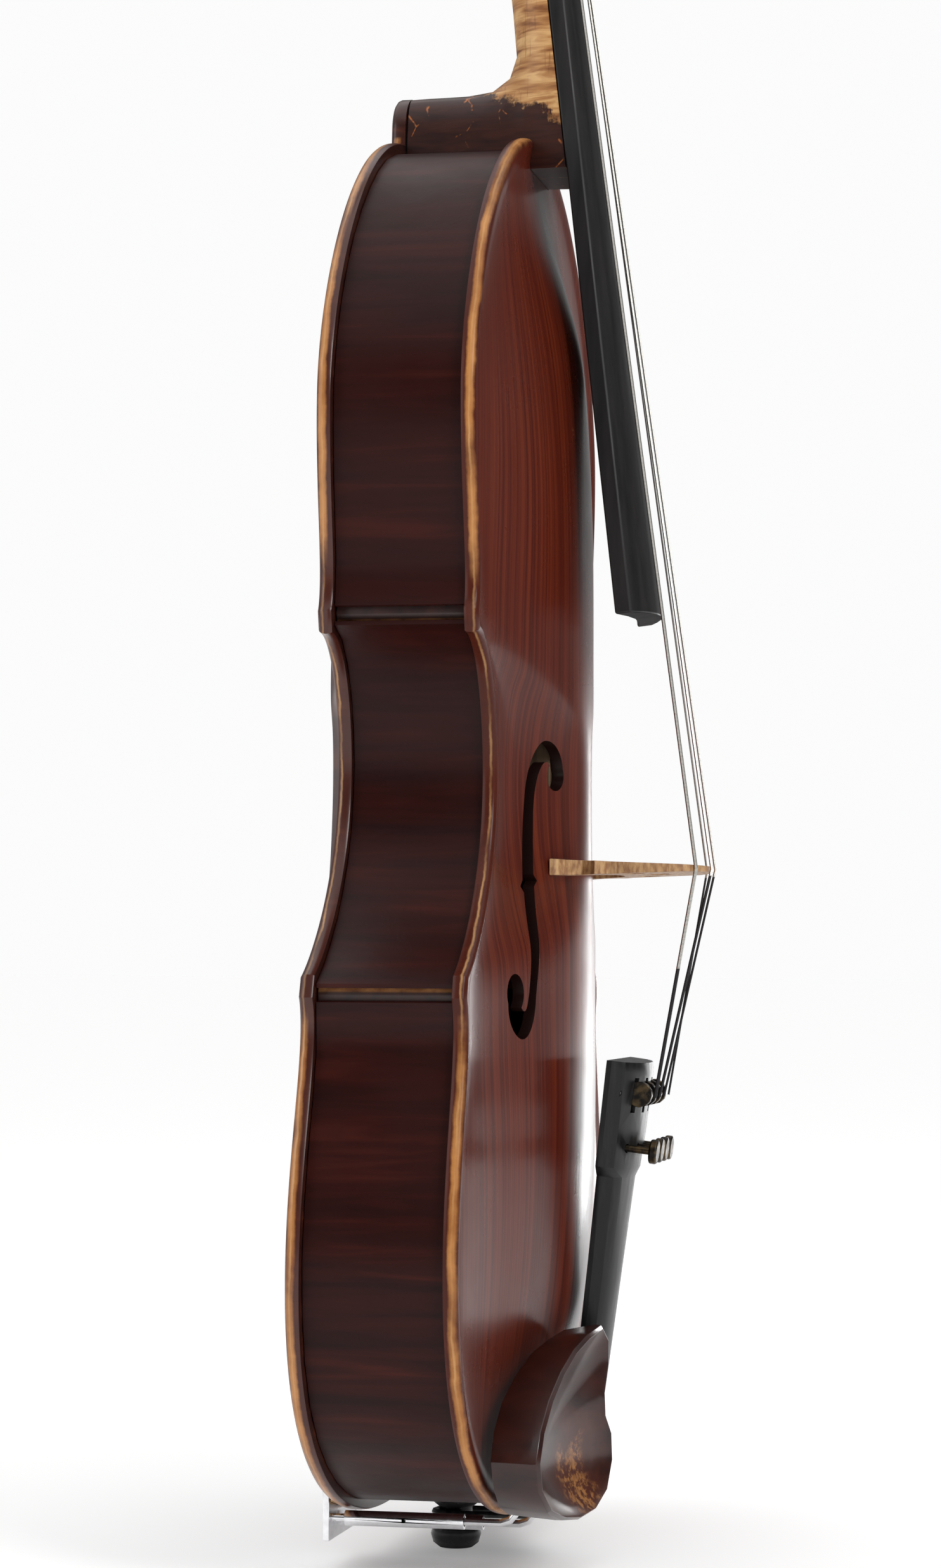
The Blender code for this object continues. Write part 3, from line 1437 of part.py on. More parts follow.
def make_tuners():
    """Levers on one pin, each pushed by a screw with a knurled knob."""
    side_on = Matrix(((0, 0, 1, 0), (1, 0, 0, 0), (0, 1, 0, 0), (0, 0, 0, 1)))
    upright = Matrix(((1, 0, 0, 0), (0, 0, 1, 0), (0, -1, 0, 0), (0, 0, 0, 1)))
    brass = (0.72, 0.60, 0.36)
    for index, label in enumerate(STRING_NAMES):
        x = tuner_x(index)
        place = TAIL_FRAME @ Matrix.Translation((x, 0, 0)) @ side_on
        lever = flat_shape("tuner_lever_" + label, lever_outline(), LEVER_THICKNESS / 2, place)
        pivot(lever, TAIL_FRAME @ Vector((x, LEVER_PIVOT, LEVER_SET)))
        finish(lever, brass, 0.3, metallic=1.0)
        stem_end = LEVER_ARM_TOP + GAP
        knob_top = KNOB_LEVEL + KNOB_THICKNESS
        profile = (
            (0.0, knob_top),
            (KNOB_RADIUS - 0.4 * MM, knob_top),
            (KNOB_RADIUS, knob_top - 0.4 * MM),
            (KNOB_RADIUS, KNOB_LEVEL + 0.4 * MM),
            (KNOB_RADIUS - 0.5 * MM, KNOB_LEVEL),
            (TUNER_STEM_RADIUS, KNOB_LEVEL),
            (TUNER_STEM_RADIUS, stem_end + 0.4 * MM),
            (0.7 * TUNER_STEM_RADIUS, stem_end),
            (0.0, stem_end),
        )
        place = TAIL_FRAME @ Matrix.Translation((x, 0, TUNER_SET)) @ upright
        finish(turned("tuner_screw_" + label, profile, place, 14), brass, 0.3, metallic=1.0)
    reach = TAILPIECE_HEAD_HALF - 2.2 * MM
    pin = rod(
        "tuner_pin",
        TAIL_FRAME @ Vector((-reach, LEVER_PIVOT, LEVER_SET)),
        TAIL_FRAME @ Vector((reach, LEVER_PIVOT, LEVER_SET)),
        PIN_RADIUS,
        sides=10,
    )
    finish(pin, (0.5, 0.5, 0.5), 0.3, metallic=1.0)


# End fittings

GUT_HALF = 4.0 * MM
GUT_LEVEL = 1.2 * MM
BUTTON_GROOVE_LEVEL = -2.2 * MM
BUTTON_GROOVE_RADIUS = 5.0 * MM


def make_saddle():
    """The ebony rest let into the belly's edge, rounded where the gut bends over it."""
    top = EDGE_THICKNESS + SADDLE_RISE
    profile = (
        (GAP / 2, 0.0),
        (EDGE_THICKNESS, 0.0),
        (0.80 * top, 0.10 * SADDLE_DEPTH),
        (0.95 * top, 0.32 * SADDLE_DEPTH),
        (top, 0.60 * SADDLE_DEPTH),
        (0.94 * top, 0.88 * SADDLE_DEPTH),
        (0.80 * top, SADDLE_DEPTH),
        (GAP / 2, SADDLE_DEPTH),
    )
    sections = []
    for x in (-SADDLE_HALF, -SADDLE_HALF + 2 * MM, SADDLE_HALF - 2 * MM, SADDLE_HALF):
        low = 1.0 if abs(x) < SADDLE_HALF else 0.72
        sections.append([Vector((x, -max(rise * low, GAP / 2), z)) for rise, z in profile])
    finish(loft("saddle", sections), (0.015, 0.013, 0.012), 0.35)


def make_end_button():
    """A turned ebony button, its pin let into the end block."""
    base = OVERHANG - GAP
    head = END_BUTTON_HEAD_RADIUS
    bottom = base - END_BUTTON_HEAD_LENGTH - 2 * MM
    profile = (
        (0.0, END_BLOCK_DEPTH),
        (0.85 * END_BUTTON_PIN_RADIUS, END_BLOCK_DEPTH),
        (END_BUTTON_PIN_RADIUS, base + MM),
        (END_BUTTON_PIN_RADIUS, base),
        (0.88 * head, base),
        (0.90 * head, base - 1.8 * MM),
        (BUTTON_GROOVE_RADIUS, BUTTON_GROOVE_LEVEL + 1.5 * MM),
        (BUTTON_GROOVE_RADIUS, BUTTON_GROOVE_LEVEL - 1.3 * MM),
        (0.90 * head, BUTTON_GROOVE_LEVEL - 3.4 * MM),
        (head, mix(BUTTON_GROOVE_LEVEL, bottom, 0.62)),
        (0.90 * head, bottom + 1.4 * MM),
        (0.66 * head, bottom),
        (0.0, bottom),
    )
    place = Matrix.Translation((0, rib_height(0) / 2, 0))
    finish(turned("end_button", profile, place, 24), (0.015, 0.013, 0.012), 0.3)


def make_tail_gut():
    """One loop from the tailpiece over the saddle and round the end button."""
    centre = rib_height(0) / 2
    lift = EDGE_THICKNESS + SADDLE_RISE + TAIL_GUT_RADIUS + GAP
    around = BUTTON_GROOVE_RADIUS + TAIL_GUT_RADIUS + GAP
    half = [
        TAIL_FRAME @ Vector((GUT_HALF, GUT_LEVEL, TAILPIECE_LENGTH - 10 * MM)),
        TAIL_FRAME @ Vector((GUT_HALF, GUT_LEVEL, TAILPIECE_LENGTH + 0.5 * MM)),
        Vector((GUT_HALF, -lift, 0.60 * SADDLE_DEPTH)),
        Vector((GUT_HALF, -lift + 0.7 * MM, 0.12 * SADDLE_DEPTH)),
        Vector((GUT_HALF, -lift + 2.6 * MM, -1.4 * MM)),
        Vector((GUT_HALF + 0.4 * MM, -EDGE_THICKNESS + MM, BUTTON_GROOVE_LEVEL)),
    ]
    ring = []
    for i in range(11):
        a = math.pi * i / 10
        ring.append(Vector((around * math.cos(a), centre + around * math.sin(a), BUTTON_GROOVE_LEVEL)))
    other = [Vector((-p.x, p.y, p.z)) for p in reversed(half)]
    finish(tube("tail_gut", half + ring + other, TAIL_GUT_RADIUS), (0.03, 0.03, 0.03), 0.5, smooth=0)


# Chinrest

CHINREST_RIM = (
    (-24, 56), (-38, 54.5), (-52, 51.5), (-65, 46.5), (-76, 40), (-84.5, 32), (-88.5, 24), (-86, 16),
    (-77, 9.5), (-63, 5.5), (-47, 3.5), (-31, 4), (-19, 8), (-13.5, 16), (-14.5, 24), (-21, 30),
    (-22, 37), (-18, 45), (-18, 52),
)
CHINREST_CENTRE = Vector((-52 * MM, 25 * MM))
CHINREST_LIFT = 21.3 * MM
CHINREST_SLOPE = 0.11
CHINREST_DEPTH = 9.0 * MM
CHINREST_CLEARANCE = 3.5 * MM
CORK_THICKNESS = 1.5 * MM
FOOT_LEVEL = EDGE_THICKNESS + CORK_THICKNESS + 2 * GAP
PLATE_THICKNESS = 2.0 * MM
JAW_DEPTH = 13.0 * MM


def make_chinrest(belly_outside):
    """A hollowed wooden cup over the bass side, standing on the belly's lower edge."""
    rim = [Vector(point) * MM for point in CHINREST_RIM]

    def rim_height(x):
        return CHINREST_LIFT + CHINREST_SLOPE * (x + 88 * MM)

    def underside(x, z):
        inner = belly_outside(x * 0.96, max(z, 10 * MM))
        if z < 12 * MM and x > -58 * MM:
            return FOOT_LEVEL
        return max(-inner + CHINREST_CLEARANCE, FOOT_LEVEL + MM)

    def ring(share, height):
        points = []
        for point in rim:
            moved = mix(point, CHINREST_CENTRE, share)
            points.append(Vector((moved.x, -height(moved.x, moved.y), moved.y)))
        return points

    def top(share):
        hollow = CHINREST_DEPTH * (1 - (1 - share) ** 2.2)
        return ring(share, lambda x, z: rim_height(x) - hollow)

    sections = [ring(share, underside) for share in (0.96, 0.7, 0.45, 0.22, 0.05)]
    sections.append(ring(0.0, lambda x, z: rim_height(x) - 3.2 * MM))
    sections.append(ring(0.0, lambda x, z: rim_height(x) - 1.0 * MM))
    sections.append(ring(0.035, lambda x, z: rim_height(x)))
    sections += [top(share) for share in (0.07, 0.22, 0.4, 0.6, 0.8, 0.96)]
    chinrest = loft("chinrest", sections)
    low, high = clamp_span()
    seat = box(
        "bracket_seat",
        (low - GAP, -FOOT_LEVEL - PLATE_THICKNESS - GAP, -10 * MM),
        (high + GAP, -FOOT_LEVEL + 2 * MM, JAW_DEPTH + GAP),
    )
    boolean(chinrest, seat)
    finish(chinrest, (0.07, 0.016, 0.010), 0.25)


def clamp_span():
    """How far across the clamp's plates reach."""
    middle = -CLAMP_OFFSET
    reach = CLAMP_SPACING / 2 + 3.5 * MM
    return middle - reach, middle + reach


def edge_level(x):
    """Height of the body's lower edge at a distance from the centre."""
    lower = bout_curves()[0]
    return point_along(lower, distance_at_half(lower, abs(x))).y


def clamp_places():
    """The two screw axes, as x and z."""
    places = []
    for label, side in (("near", -1), ("far", 1)):
        x = -CLAMP_OFFSET + side * CLAMP_SPACING / 2
        places.append((label, x, edge_level(x) - BARREL_RADIUS - 3 * GAP))
    return places


def wire_mesh(name, points, radius):
    """A bent rod as a mesh, so that it can be joined to a plate."""
    source = tube(name + "_line", points, radius)
    bpy.context.view_layer.update()
    evaluated = source.evaluated_get(bpy.context.evaluated_depsgraph_get())
    data = bpy.data.meshes.new_from_object(evaluated)
    bpy.data.objects.remove(source, do_unlink=True)
    form = bmesh.new()
    form.from_mesh(data)
    bpy.data.meshes.remove(data)
    return mesh_object(name, form)


def make_clamp():
    """Two turnbuckles draw the bracket and the jaw together on the body's edges."""
    chrome = (0.75, 0.75, 0.76)
    low, high = clamp_span()
    middle = rib_height(0) / 2 + 5 * MM
    top = middle - BARREL_LENGTH / 2
    end = middle + BARREL_LENGTH / 2
    jaw_level = rib_height(0) + EDGE_THICKNESS + CORK_THICKNESS + 2 * GAP
    upper = FOOT_LEVEL + PLATE_THICKNESS / 2
    level = min(z for label, x, z in clamp_places())
    under = level - CLAMP_ROD_RADIUS - 0.6 * MM
    plate = box(
        "clamp_bracket",
        (low, -FOOT_LEVEL - PLATE_THICKNESS, edge_level(low) + 2 * MM),
        (high, -FOOT_LEVEL, JAW_DEPTH),
    )
    jaw = box(
        "clamp_jaw",
        (low, jaw_level, under),
        (high, jaw_level + PLATE_THICKNESS, JAW_DEPTH),
    )
    for label, x, z in clamp_places():
        bend = [
            Vector((x, top + 7 * MM, z)),
            Vector((x, -0.4 * upper, z)),
            Vector((x, -0.75 * upper, z + 0.12 * upper)),
            Vector((x, -0.95 * upper, z + 0.36 * upper)),
            Vector((x, -upper, z + 0.75 * upper)),
            Vector((x, -upper, JAW_DEPTH - 2 * MM)),
        ]
        radius = PLATE_THICKNESS / 2 + 0.12 * MM
        boolean(plate, wire_mesh("upper_rod_" + label, bend, radius), "UNION")
        lower_rod = rod(
            "lower_rod_" + label,
            (x, end - 7 * MM - CLAMP_TRAVEL, z),
            (x, jaw_level + PLATE_THICKNESS / 2, z),
            radius,
            sides=12,
        )
        boolean(jaw, lower_rod, "UNION")
        barrel = rod("clamp_barrel_" + label, (x, top, z), (x, end, z), BARREL_RADIUS, sides=20)
        bore = rod("barrel_bore_" + label, (x, top - MM, z), (x, end + MM, z), radius + GAP, sides=20)
        boolean(barrel, bore)
        cross = Vector((BARREL_RADIUS * 2, 0, 0))
        key_hole = rod(
            "key_hole_" + label, Vector((x, middle, z)) - cross, Vector((x, middle, z)) + cross, 0.7 * MM, sides=10
        )
        boolean(barrel, key_hole)
        pivot(barrel, Vector((x, middle, z)))
        finish(barrel, chrome, 0.15, metallic=1.0)
    pivot(jaw, Vector((0, jaw_level, 0)))
    finish(plate, chrome, 0.15, metallic=1.0)
    finish(jaw, chrome, 0.15, metallic=1.0)
    line = offset_line(piece_of(bout_curves()[0], *cork_reach(), 6), MM)
    inner = offset_line(piece_of(bout_curves()[0], *cork_reach(), 6), 5.4 * MM)

    def belly_cork(near, far):
        return strip("cork_belly", line, inner, -1, lambda level: near, lambda level: far)

    def back_cork(lift, thick):
        return strip(
            "cork_back",
            line,
            inner,
            -1,
            lambda level: rib_height(level) + lift,
            lambda level: jaw_level - GAP + thick,
        )

    cork = (0.55, 0.36, 0.20)
    finish(belly_cork(-EDGE_THICKNESS - GAP - CORK_THICKNESS, -EDGE_THICKNESS - GAP), cork, 0.9)
    finish(back_cork(EDGE_THICKNESS + GAP, 0.0), cork, 0.9)


def cork_reach():
    """Distances along the lower edge between which the corks lie."""
    lower = bout_curves()[0]
    low, high = clamp_span()
    start = max(-high, SADDLE_HALF + 2 * GAP)
    return distance_at_half(lower, start), distance_at_half(lower, -low)


def main():
    global PARTS, CUTTERS
    clear_scene()
    PARTS = add_collection("Viola")
    CUTTERS = add_collection("Cutters")
    belly, back = make_plates()
    read_belly = surface_reader(belly)
    read_back = surface_reader(back)

    def belly_inside(x, z):
        return read_belly(x, z, outward=-1)

    def belly_outside(x, z):
        return read_belly(x, z, outside=True, outward=-1)

    def back_inside(x, z):
        return read_back(x, z, outward=1)

    make_button(back)
    cut_sound_holes(belly)
    cut_belly_seats(belly)
    make_ribs()
    make_blocks()
    make_linings()
    make_bass_bar(belly_inside)
    make_sound_post(belly_inside, back_inside)
    make_neck()
    make_fingerboard()
    make_nut()
    make_pegs()
    make_strings()
    make_bridge(belly_outside)
    make_tailpiece()
    make_tuners()
    make_saddle()
    make_end_button()
    make_tail_gut()
    make_chinrest(belly_outside)
    make_clamp()


main()
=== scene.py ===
"""The looks of the viola: finishes, fine edges, camera, light and floor.

Metres, +Z up. The belly faces -Y and the bass side is at -X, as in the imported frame.
"""
import json
import math

import bmesh
import bpy
from mathutils import Matrix, Vector

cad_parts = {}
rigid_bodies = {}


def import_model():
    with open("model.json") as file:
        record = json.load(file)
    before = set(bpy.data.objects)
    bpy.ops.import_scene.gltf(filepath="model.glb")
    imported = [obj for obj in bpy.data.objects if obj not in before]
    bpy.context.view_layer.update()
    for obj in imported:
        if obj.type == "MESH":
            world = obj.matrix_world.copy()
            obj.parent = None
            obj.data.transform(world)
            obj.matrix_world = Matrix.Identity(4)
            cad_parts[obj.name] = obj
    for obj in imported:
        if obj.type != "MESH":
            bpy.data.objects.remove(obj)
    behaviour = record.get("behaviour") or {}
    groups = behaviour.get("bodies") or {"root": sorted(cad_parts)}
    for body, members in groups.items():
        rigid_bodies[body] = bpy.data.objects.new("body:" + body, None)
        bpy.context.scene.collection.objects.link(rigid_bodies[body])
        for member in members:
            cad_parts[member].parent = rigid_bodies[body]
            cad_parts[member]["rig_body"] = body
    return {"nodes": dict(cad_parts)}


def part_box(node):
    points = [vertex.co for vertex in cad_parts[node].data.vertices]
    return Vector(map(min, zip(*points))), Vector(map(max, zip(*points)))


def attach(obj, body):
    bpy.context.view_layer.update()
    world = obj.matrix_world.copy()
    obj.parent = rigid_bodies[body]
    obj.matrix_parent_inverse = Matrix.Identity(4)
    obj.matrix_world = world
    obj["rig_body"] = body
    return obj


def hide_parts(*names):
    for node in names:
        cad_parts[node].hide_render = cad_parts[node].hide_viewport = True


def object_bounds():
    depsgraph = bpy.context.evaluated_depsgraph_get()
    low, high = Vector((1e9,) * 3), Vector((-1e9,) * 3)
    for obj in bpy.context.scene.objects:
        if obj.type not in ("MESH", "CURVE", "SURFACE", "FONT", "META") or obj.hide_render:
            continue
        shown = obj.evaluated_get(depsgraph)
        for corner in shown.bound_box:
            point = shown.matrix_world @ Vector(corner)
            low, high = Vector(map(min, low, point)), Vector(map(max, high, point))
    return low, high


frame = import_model()

MM = 0.001
CAD_BOX = [list(corner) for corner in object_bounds()]

# Photograph and camera, fitted to the body, neck and fittings
PHOTO_HEIGHT = 2474
FOCAL_PIXELS = 5897.55
SENSOR = 36.0
CAMERA_PLACE = Vector((-1.094880, -0.205260, 0.158856))
CAMERA_YAW = 0.199977
CAMERA_PITCH = 0.049021
CAMERA_ROLL = 0.004919

# The plates' sizes, as in the frame
BODY_LENGTH = 406.0 * MM
EDGE_THICKNESS = 4.3 * MM
CHANNEL_THICKNESS = 3.5 * MM
BEAD_WIDTH = 1.8 * MM
CHANNEL_REACH = 5.5 * MM
MARGIN_REACH = 7.0 * MM
BELLY_ARCH = 19.6 * MM
BACK_ARCH = 20.4 * MM
BELLY_THICKNESS = 3.0 * MM
BACK_THICKNESS = 3.6 * MM
ARCH_LOW_LEVEL = 70.0 * MM
ARCH_HIGH_LEVEL = 330.0 * MM
ARCH_PEAK_LEVEL = 165.0 * MM
ARCH_FALL = 2.2 * MM
RIB_HEIGHT_LOW = 39.8 * MM
RIB_HEIGHT_TOP = 35.2 * MM
BOARD_RISE = 13.3 * MM
BUTTON_HALF = 11.0 * MM
GAP = 0.3 * MM
PLATE_DETAIL = 5
ARCH_RINGS = 24
EDGE_REACH = 6.5 * MM


# Node helpers


class Shader:
    """A material's node tree with short calls for the nodes used here."""

    def __init__(self, name):
        self.material = bpy.data.materials.new(name)
        self.material.use_nodes = True
        self.tree = self.material.node_tree
        self.main = self.tree.nodes["Principled BSDF"]
        self.place = self.add("ShaderNodeTexCoord").outputs["Object"]

    def add(self, kind, **settings):
        node = self.tree.nodes.new(kind)
        for key, value in settings.items():
            setattr(node, key, value)
        return node

    def join(self, source, target):
        if isinstance(source, (int, float)):
            target.default_value = source
        elif isinstance(source, (tuple, list)):
            target.default_value = source
        else:
            self.tree.links.new(source, target)

    def scaled(self, scale, turn=(0, 0, 0)):
        node = self.add("ShaderNodeMapping")
        node.inputs["Scale"].default_value = scale
        node.inputs["Rotation"].default_value = turn
        self.join(self.place, node.inputs["Vector"])
        return node.outputs["Vector"]

    def noise(self, scale, vector=None, detail=4.0, rough=0.55, distortion=0.0):
        node = self.add("ShaderNodeTexNoise")
        self.join(self.place if vector is None else vector, node.inputs["Vector"])
        node.inputs["Scale"].default_value = scale
        node.inputs["Detail"].default_value = detail
        node.inputs["Roughness"].default_value = rough
        node.inputs["Distortion"].default_value = distortion
        return node.outputs["Fac"]

    def ramp(self, value, *stops):
        node = self.add("ShaderNodeValToRGB")
        ramp = node.color_ramp
        while len(ramp.elements) < len(stops):
            ramp.elements.new(0.5)
        for element, (spot, colour) in zip(ramp.elements, stops):
            element.position = spot
            tone = colour if isinstance(colour, tuple) else (colour, colour, colour)
            element.color = (*tone, 1.0)
        self.join(value, node.inputs["Fac"])
        return node.outputs["Color"]

    def mix(self, share, first, second, kind="MIX"):
        node = self.add("ShaderNodeMix", data_type="RGBA", blend_type=kind)
        self.join(share, node.inputs[0])
        self.join(first if not isinstance(first, tuple) else (*first, 1.0), node.inputs[6])
        self.join(second if not isinstance(second, tuple) else (*second, 1.0), node.inputs[7])
        return node.outputs[2]

    def sum(self, first, second, kind="ADD"):
        node = self.add("ShaderNodeMath", operation=kind)
        self.join(first, node.inputs[0])
        self.join(second, node.inputs[1])
        return node.outputs[0]

    def span(self, value, low, high, start=0.0, end=1.0):
        node = self.add("ShaderNodeMapRange")
        self.join(value, node.inputs["Value"])
        node.inputs["From Min"].default_value = low
        node.inputs["From Max"].default_value = high
        node.inputs["To Min"].default_value = start
        node.inputs["To Max"].default_value = end
        return node.outputs["Result"]

    def axis(self, name):
        node = self.add("ShaderNodeSeparateXYZ")
        self.join(self.place, node.inputs[0])
        return node.outputs[name]

    def underside(self, rough, dull=0.95):
        """Roughness that turns dull on faces that look down."""
        node = self.add("ShaderNodeSeparateXYZ")
        self.join(self.add("ShaderNodeNewGeometry").outputs["Normal"], node.inputs[0])
        share = self.span(node.outputs["Z"], -0.75, -0.35, 1.0, 0.0)
        return self.sum(rough, self.sum(share, dull, "MULTIPLY"), "MAXIMUM")

    def attribute(self, name):
        return self.add("ShaderNodeAttribute", attribute_name=name).outputs["Fac"]

    def bump(self, height, depth, strength=1.0):
        node = self.add("ShaderNodeBump")
        node.inputs["Distance"].default_value = depth
        node.inputs["Strength"].default_value = strength
        self.join(height, node.inputs["Height"])
        self.join(node.outputs["Normal"], self.main.inputs["Normal"])

    def finish(self, colour, roughness, metallic=0.0, coat=0.0, coat_roughness=0.08, specular=0.5):
        self.join(colour if not isinstance(colour, tuple) else (*colour, 1.0), self.main.inputs["Base Color"])
        self.join(roughness, self.main.inputs["Roughness"])
        if metallic is not None:
            self.main.inputs["Metallic"].default_value = metallic
        self.main.inputs["Coat Weight"].default_value = coat
        self.main.inputs["Coat Roughness"].default_value = coat_roughness
        self.main.inputs["Specular IOR Level"].default_value = specular
        return self.material


# Materials


def varnish_flaws(shader, colour, bare, amount=1.0):
    """Small chips and scratches through a varnished colour."""
    chips = shader.ramp(shader.noise(150.0, detail=6.0, rough=0.7), (0.715, 0.0), (0.745, 0.8 * amount))
    patch = shader.ramp(shader.noise(15.0, detail=2.0), (0.58, 0.0), (0.70, 1.0))
    return shader.mix(shader.sum(chips, patch, "MULTIPLY"), colour, bare)


def spot(shader, centre, reach, ragged=0.5):
    """One small ragged blemish."""
    away = shader.add("ShaderNodeVectorMath", operation="DISTANCE")
    shader.join(shader.place, away.inputs[0])
    away.inputs[1].default_value = centre
    broken = shader.span(shader.noise(520.0, detail=4.0, rough=0.7), 0.3, 0.7, -ragged * reach, ragged * reach)
    return shader.span(shader.sum(away.outputs["Value"], broken), 0.45 * reach, 0.75 * reach, 1.0, 0.0)


def rib_wood():
    """Very dark red-brown varnish over faintly flamed maple."""
    shader = Shader("rib_varnish")
    flame = shader.noise(1.0, shader.scaled((18, 14, 190)), detail=3.0, distortion=0.5)
    wood = shader.ramp(flame, (0.30, (0.013, 0.0022, 0.0018)), (0.55, (0.025, 0.0038, 0.0026)), (0.76, (0.050, 0.0080, 0.0048)))
    cloud = shader.ramp(shader.noise(7.0, detail=3.0), (0.35, 0.0), (0.75, 0.55))
    colour = shader.mix(cloud, wood, (0.019, 0.0034, 0.0027))
    colour = varnish_flaws(shader, colour, (0.10, 0.035, 0.02), 0.6)
    marks = ((-0.0905, 0.0206, 0.3602), 0.0042), ((-0.0985, 0.0038, 0.2987), 0.0026)
    for place, reach in marks:
        colour = shader.mix(spot(shader, place, reach, 0.9), colour, (0.22, 0.085, 0.045))
    lumps = shader.noise(150.0, detail=4.0, distortion=1.0)
    shader.bump(lumps, 0.0005, 0.16)
    rough = shader.span(shader.noise(24.0, detail=4.0), 0.3, 0.7, 0.34, 0.50)
    return shader.finish(colour, rough, coat=0.03, coat_roughness=0.22, specular=0.13)


def edge_wear_and_painted_light(shader, colour):
    """Wear on the rounded edge of a plate: golden in the bouts, a thin bright line at the waist that is partly wear
    and partly a painted highlight, and a painted shadow under the overhang at the ribs.
    """
    edge = shader.attribute("edge")
    across = shader.attribute("across")
    bout = shader.attribute("bout")
    broken = shader.span(shader.noise(130.0, detail=5.0, rough=0.6), 0.3, 0.7, -0.07, 0.07)
    drift = shader.span(shader.noise(22.0, detail=3.0), 0.3, 0.7, -0.08, 0.08)
    rim = shader.span(edge, 0.62, 0.76)
    place = shader.sum(shader.sum(across, broken), drift)
    low = shader.span(place, 0.30, 0.46)
    high = shader.span(place, 0.80, 0.98, 1.0, 0.0)
    band = shader.sum(shader.sum(low, high, "MULTIPLY"), rim, "MULTIPLY")
    amount = shader.sum(bout, shader.span(shader.noise(26.0, detail=5.0, rough=0.6), 0.35, 0.62, -0.75, 0.10))
    band = shader.sum(band, shader.span(amount, 0.0, 0.8), "MULTIPLY")
    gold = shader.ramp(shader.noise(60.0, detail=5.0), (0.30, (0.25, 0.085, 0.022)), (0.60, (0.46, 0.20, 0.062)))
    base = shader.mix(shader.sum(rim, 0.75, "MULTIPLY"), colour, (0.060, 0.013, 0.0075))
    worn = shader.mix(band, base, gold)
    # A thin bright line along the middle of the rounded edge: partly rubbed wear, partly a painted highlight.
    wear_and_highlight_line = shader.sum(shader.span(place, 0.52, 0.60), shader.span(place, 0.64, 0.74, 1.0, 0.0), "MULTIPLY")
    faint = shader.span(shader.noise(48.0, detail=4.0), 0.35, 0.65, 0.10, 0.60)
    wear_and_highlight_line = shader.sum(shader.sum(wear_and_highlight_line, rim, "MULTIPLY"), faint, "MULTIPLY")
    worn = shader.mix(wear_and_highlight_line, worn, (0.62, 0.34, 0.14))
    # Painted shadow: the underside of the overhang, next to the ribs, is painted near-black.
    painted_overhang_shadow = shader.span(across, 0.0, 0.10, 0.85, 0.0)
    return shader.mix(shader.sum(painted_overhang_shadow, rim, "MULTIPLY"), worn, (0.006, 0.002, 0.002))


def back_wood():
    """The back's red-brown varnish over flamed maple."""
    shader = Shader("back_varnish")
    flame = shader.noise(1.0, shader.scaled((13, 30, 170), (0.0, 0.10, 0.0)), detail=3.0, distortion=0.7)
    wood = shader.ramp(flame, (0.32, (0.020, 0.0046, 0.0034)), (0.54, (0.048, 0.0105, 0.0058)), (0.74, (0.115, 0.030, 0.012)))
    colour = varnish_flaws(shader, wood, (0.30, 0.12, 0.045))
    colour = edge_wear_and_painted_light(shader, colour)
    shader.bump(shader.noise(60.0, detail=4.0), 0.0005, 0.15)
    return shader.finish(colour, 0.30, coat=0.15, coat_roughness=0.16, specular=0.35)


def belly_wood():
    """Deep red-brown varnish with the fine straight grain of spruce."""
    shader = Shader("belly_varnish")
    grain = shader.noise(1.0, shader.scaled((760, 30, 3)), detail=2.0)
    wood = shader.ramp(grain, (0.36, (0.062, 0.0080, 0.0036)), (0.50, (0.104, 0.0145, 0.0056)), (0.66, (0.150, 0.0250, 0.0088)))
    broad = shader.ramp(shader.noise(9.0, detail=3.0), (0.30, 0.0), (0.75, 0.70))
    colour = shader.mix(broad, wood, (0.058, 0.0082, 0.0040))
    colour = varnish_flaws(shader, colour, (0.24, 0.085, 0.035), 0.35)
    nick = spot(shader, (-0.0150, -0.0180, 0.3170), 0.0020, 0.9)
    colour = shader.mix(nick, colour, (0.42, 0.15, 0.06))
    colour = edge_wear_and_painted_light(shader, colour)
    # Painted shade: steep faces away from the edge, chiefly the sound holes' cut walls, are painted near-black.
    facing = shader.add("ShaderNodeSeparateXYZ")
    shader.join(shader.add("ShaderNodeNewGeometry").outputs["Normal"], facing.inputs[0])
    steep = shader.span(shader.sum(facing.outputs["Y"], 2.0, "POWER"), 0.10, 0.30, 1.0, 0.0)
    inside = shader.span(shader.attribute("edge"), 0.0, 0.05, 1.0, 0.0)
    colour = shader.mix(shader.sum(steep, inside, "MULTIPLY"), colour, (0.010, 0.0035, 0.0028))
    shader.bump(grain, 0.0002, 0.12)
    rough = shader.span(shader.noise(30.0, detail=4.0), 0.3, 0.7, 0.24, 0.34)
    return shader.finish(colour, rough, coat=0.04, coat_roughness=0.12, specular=0.15)


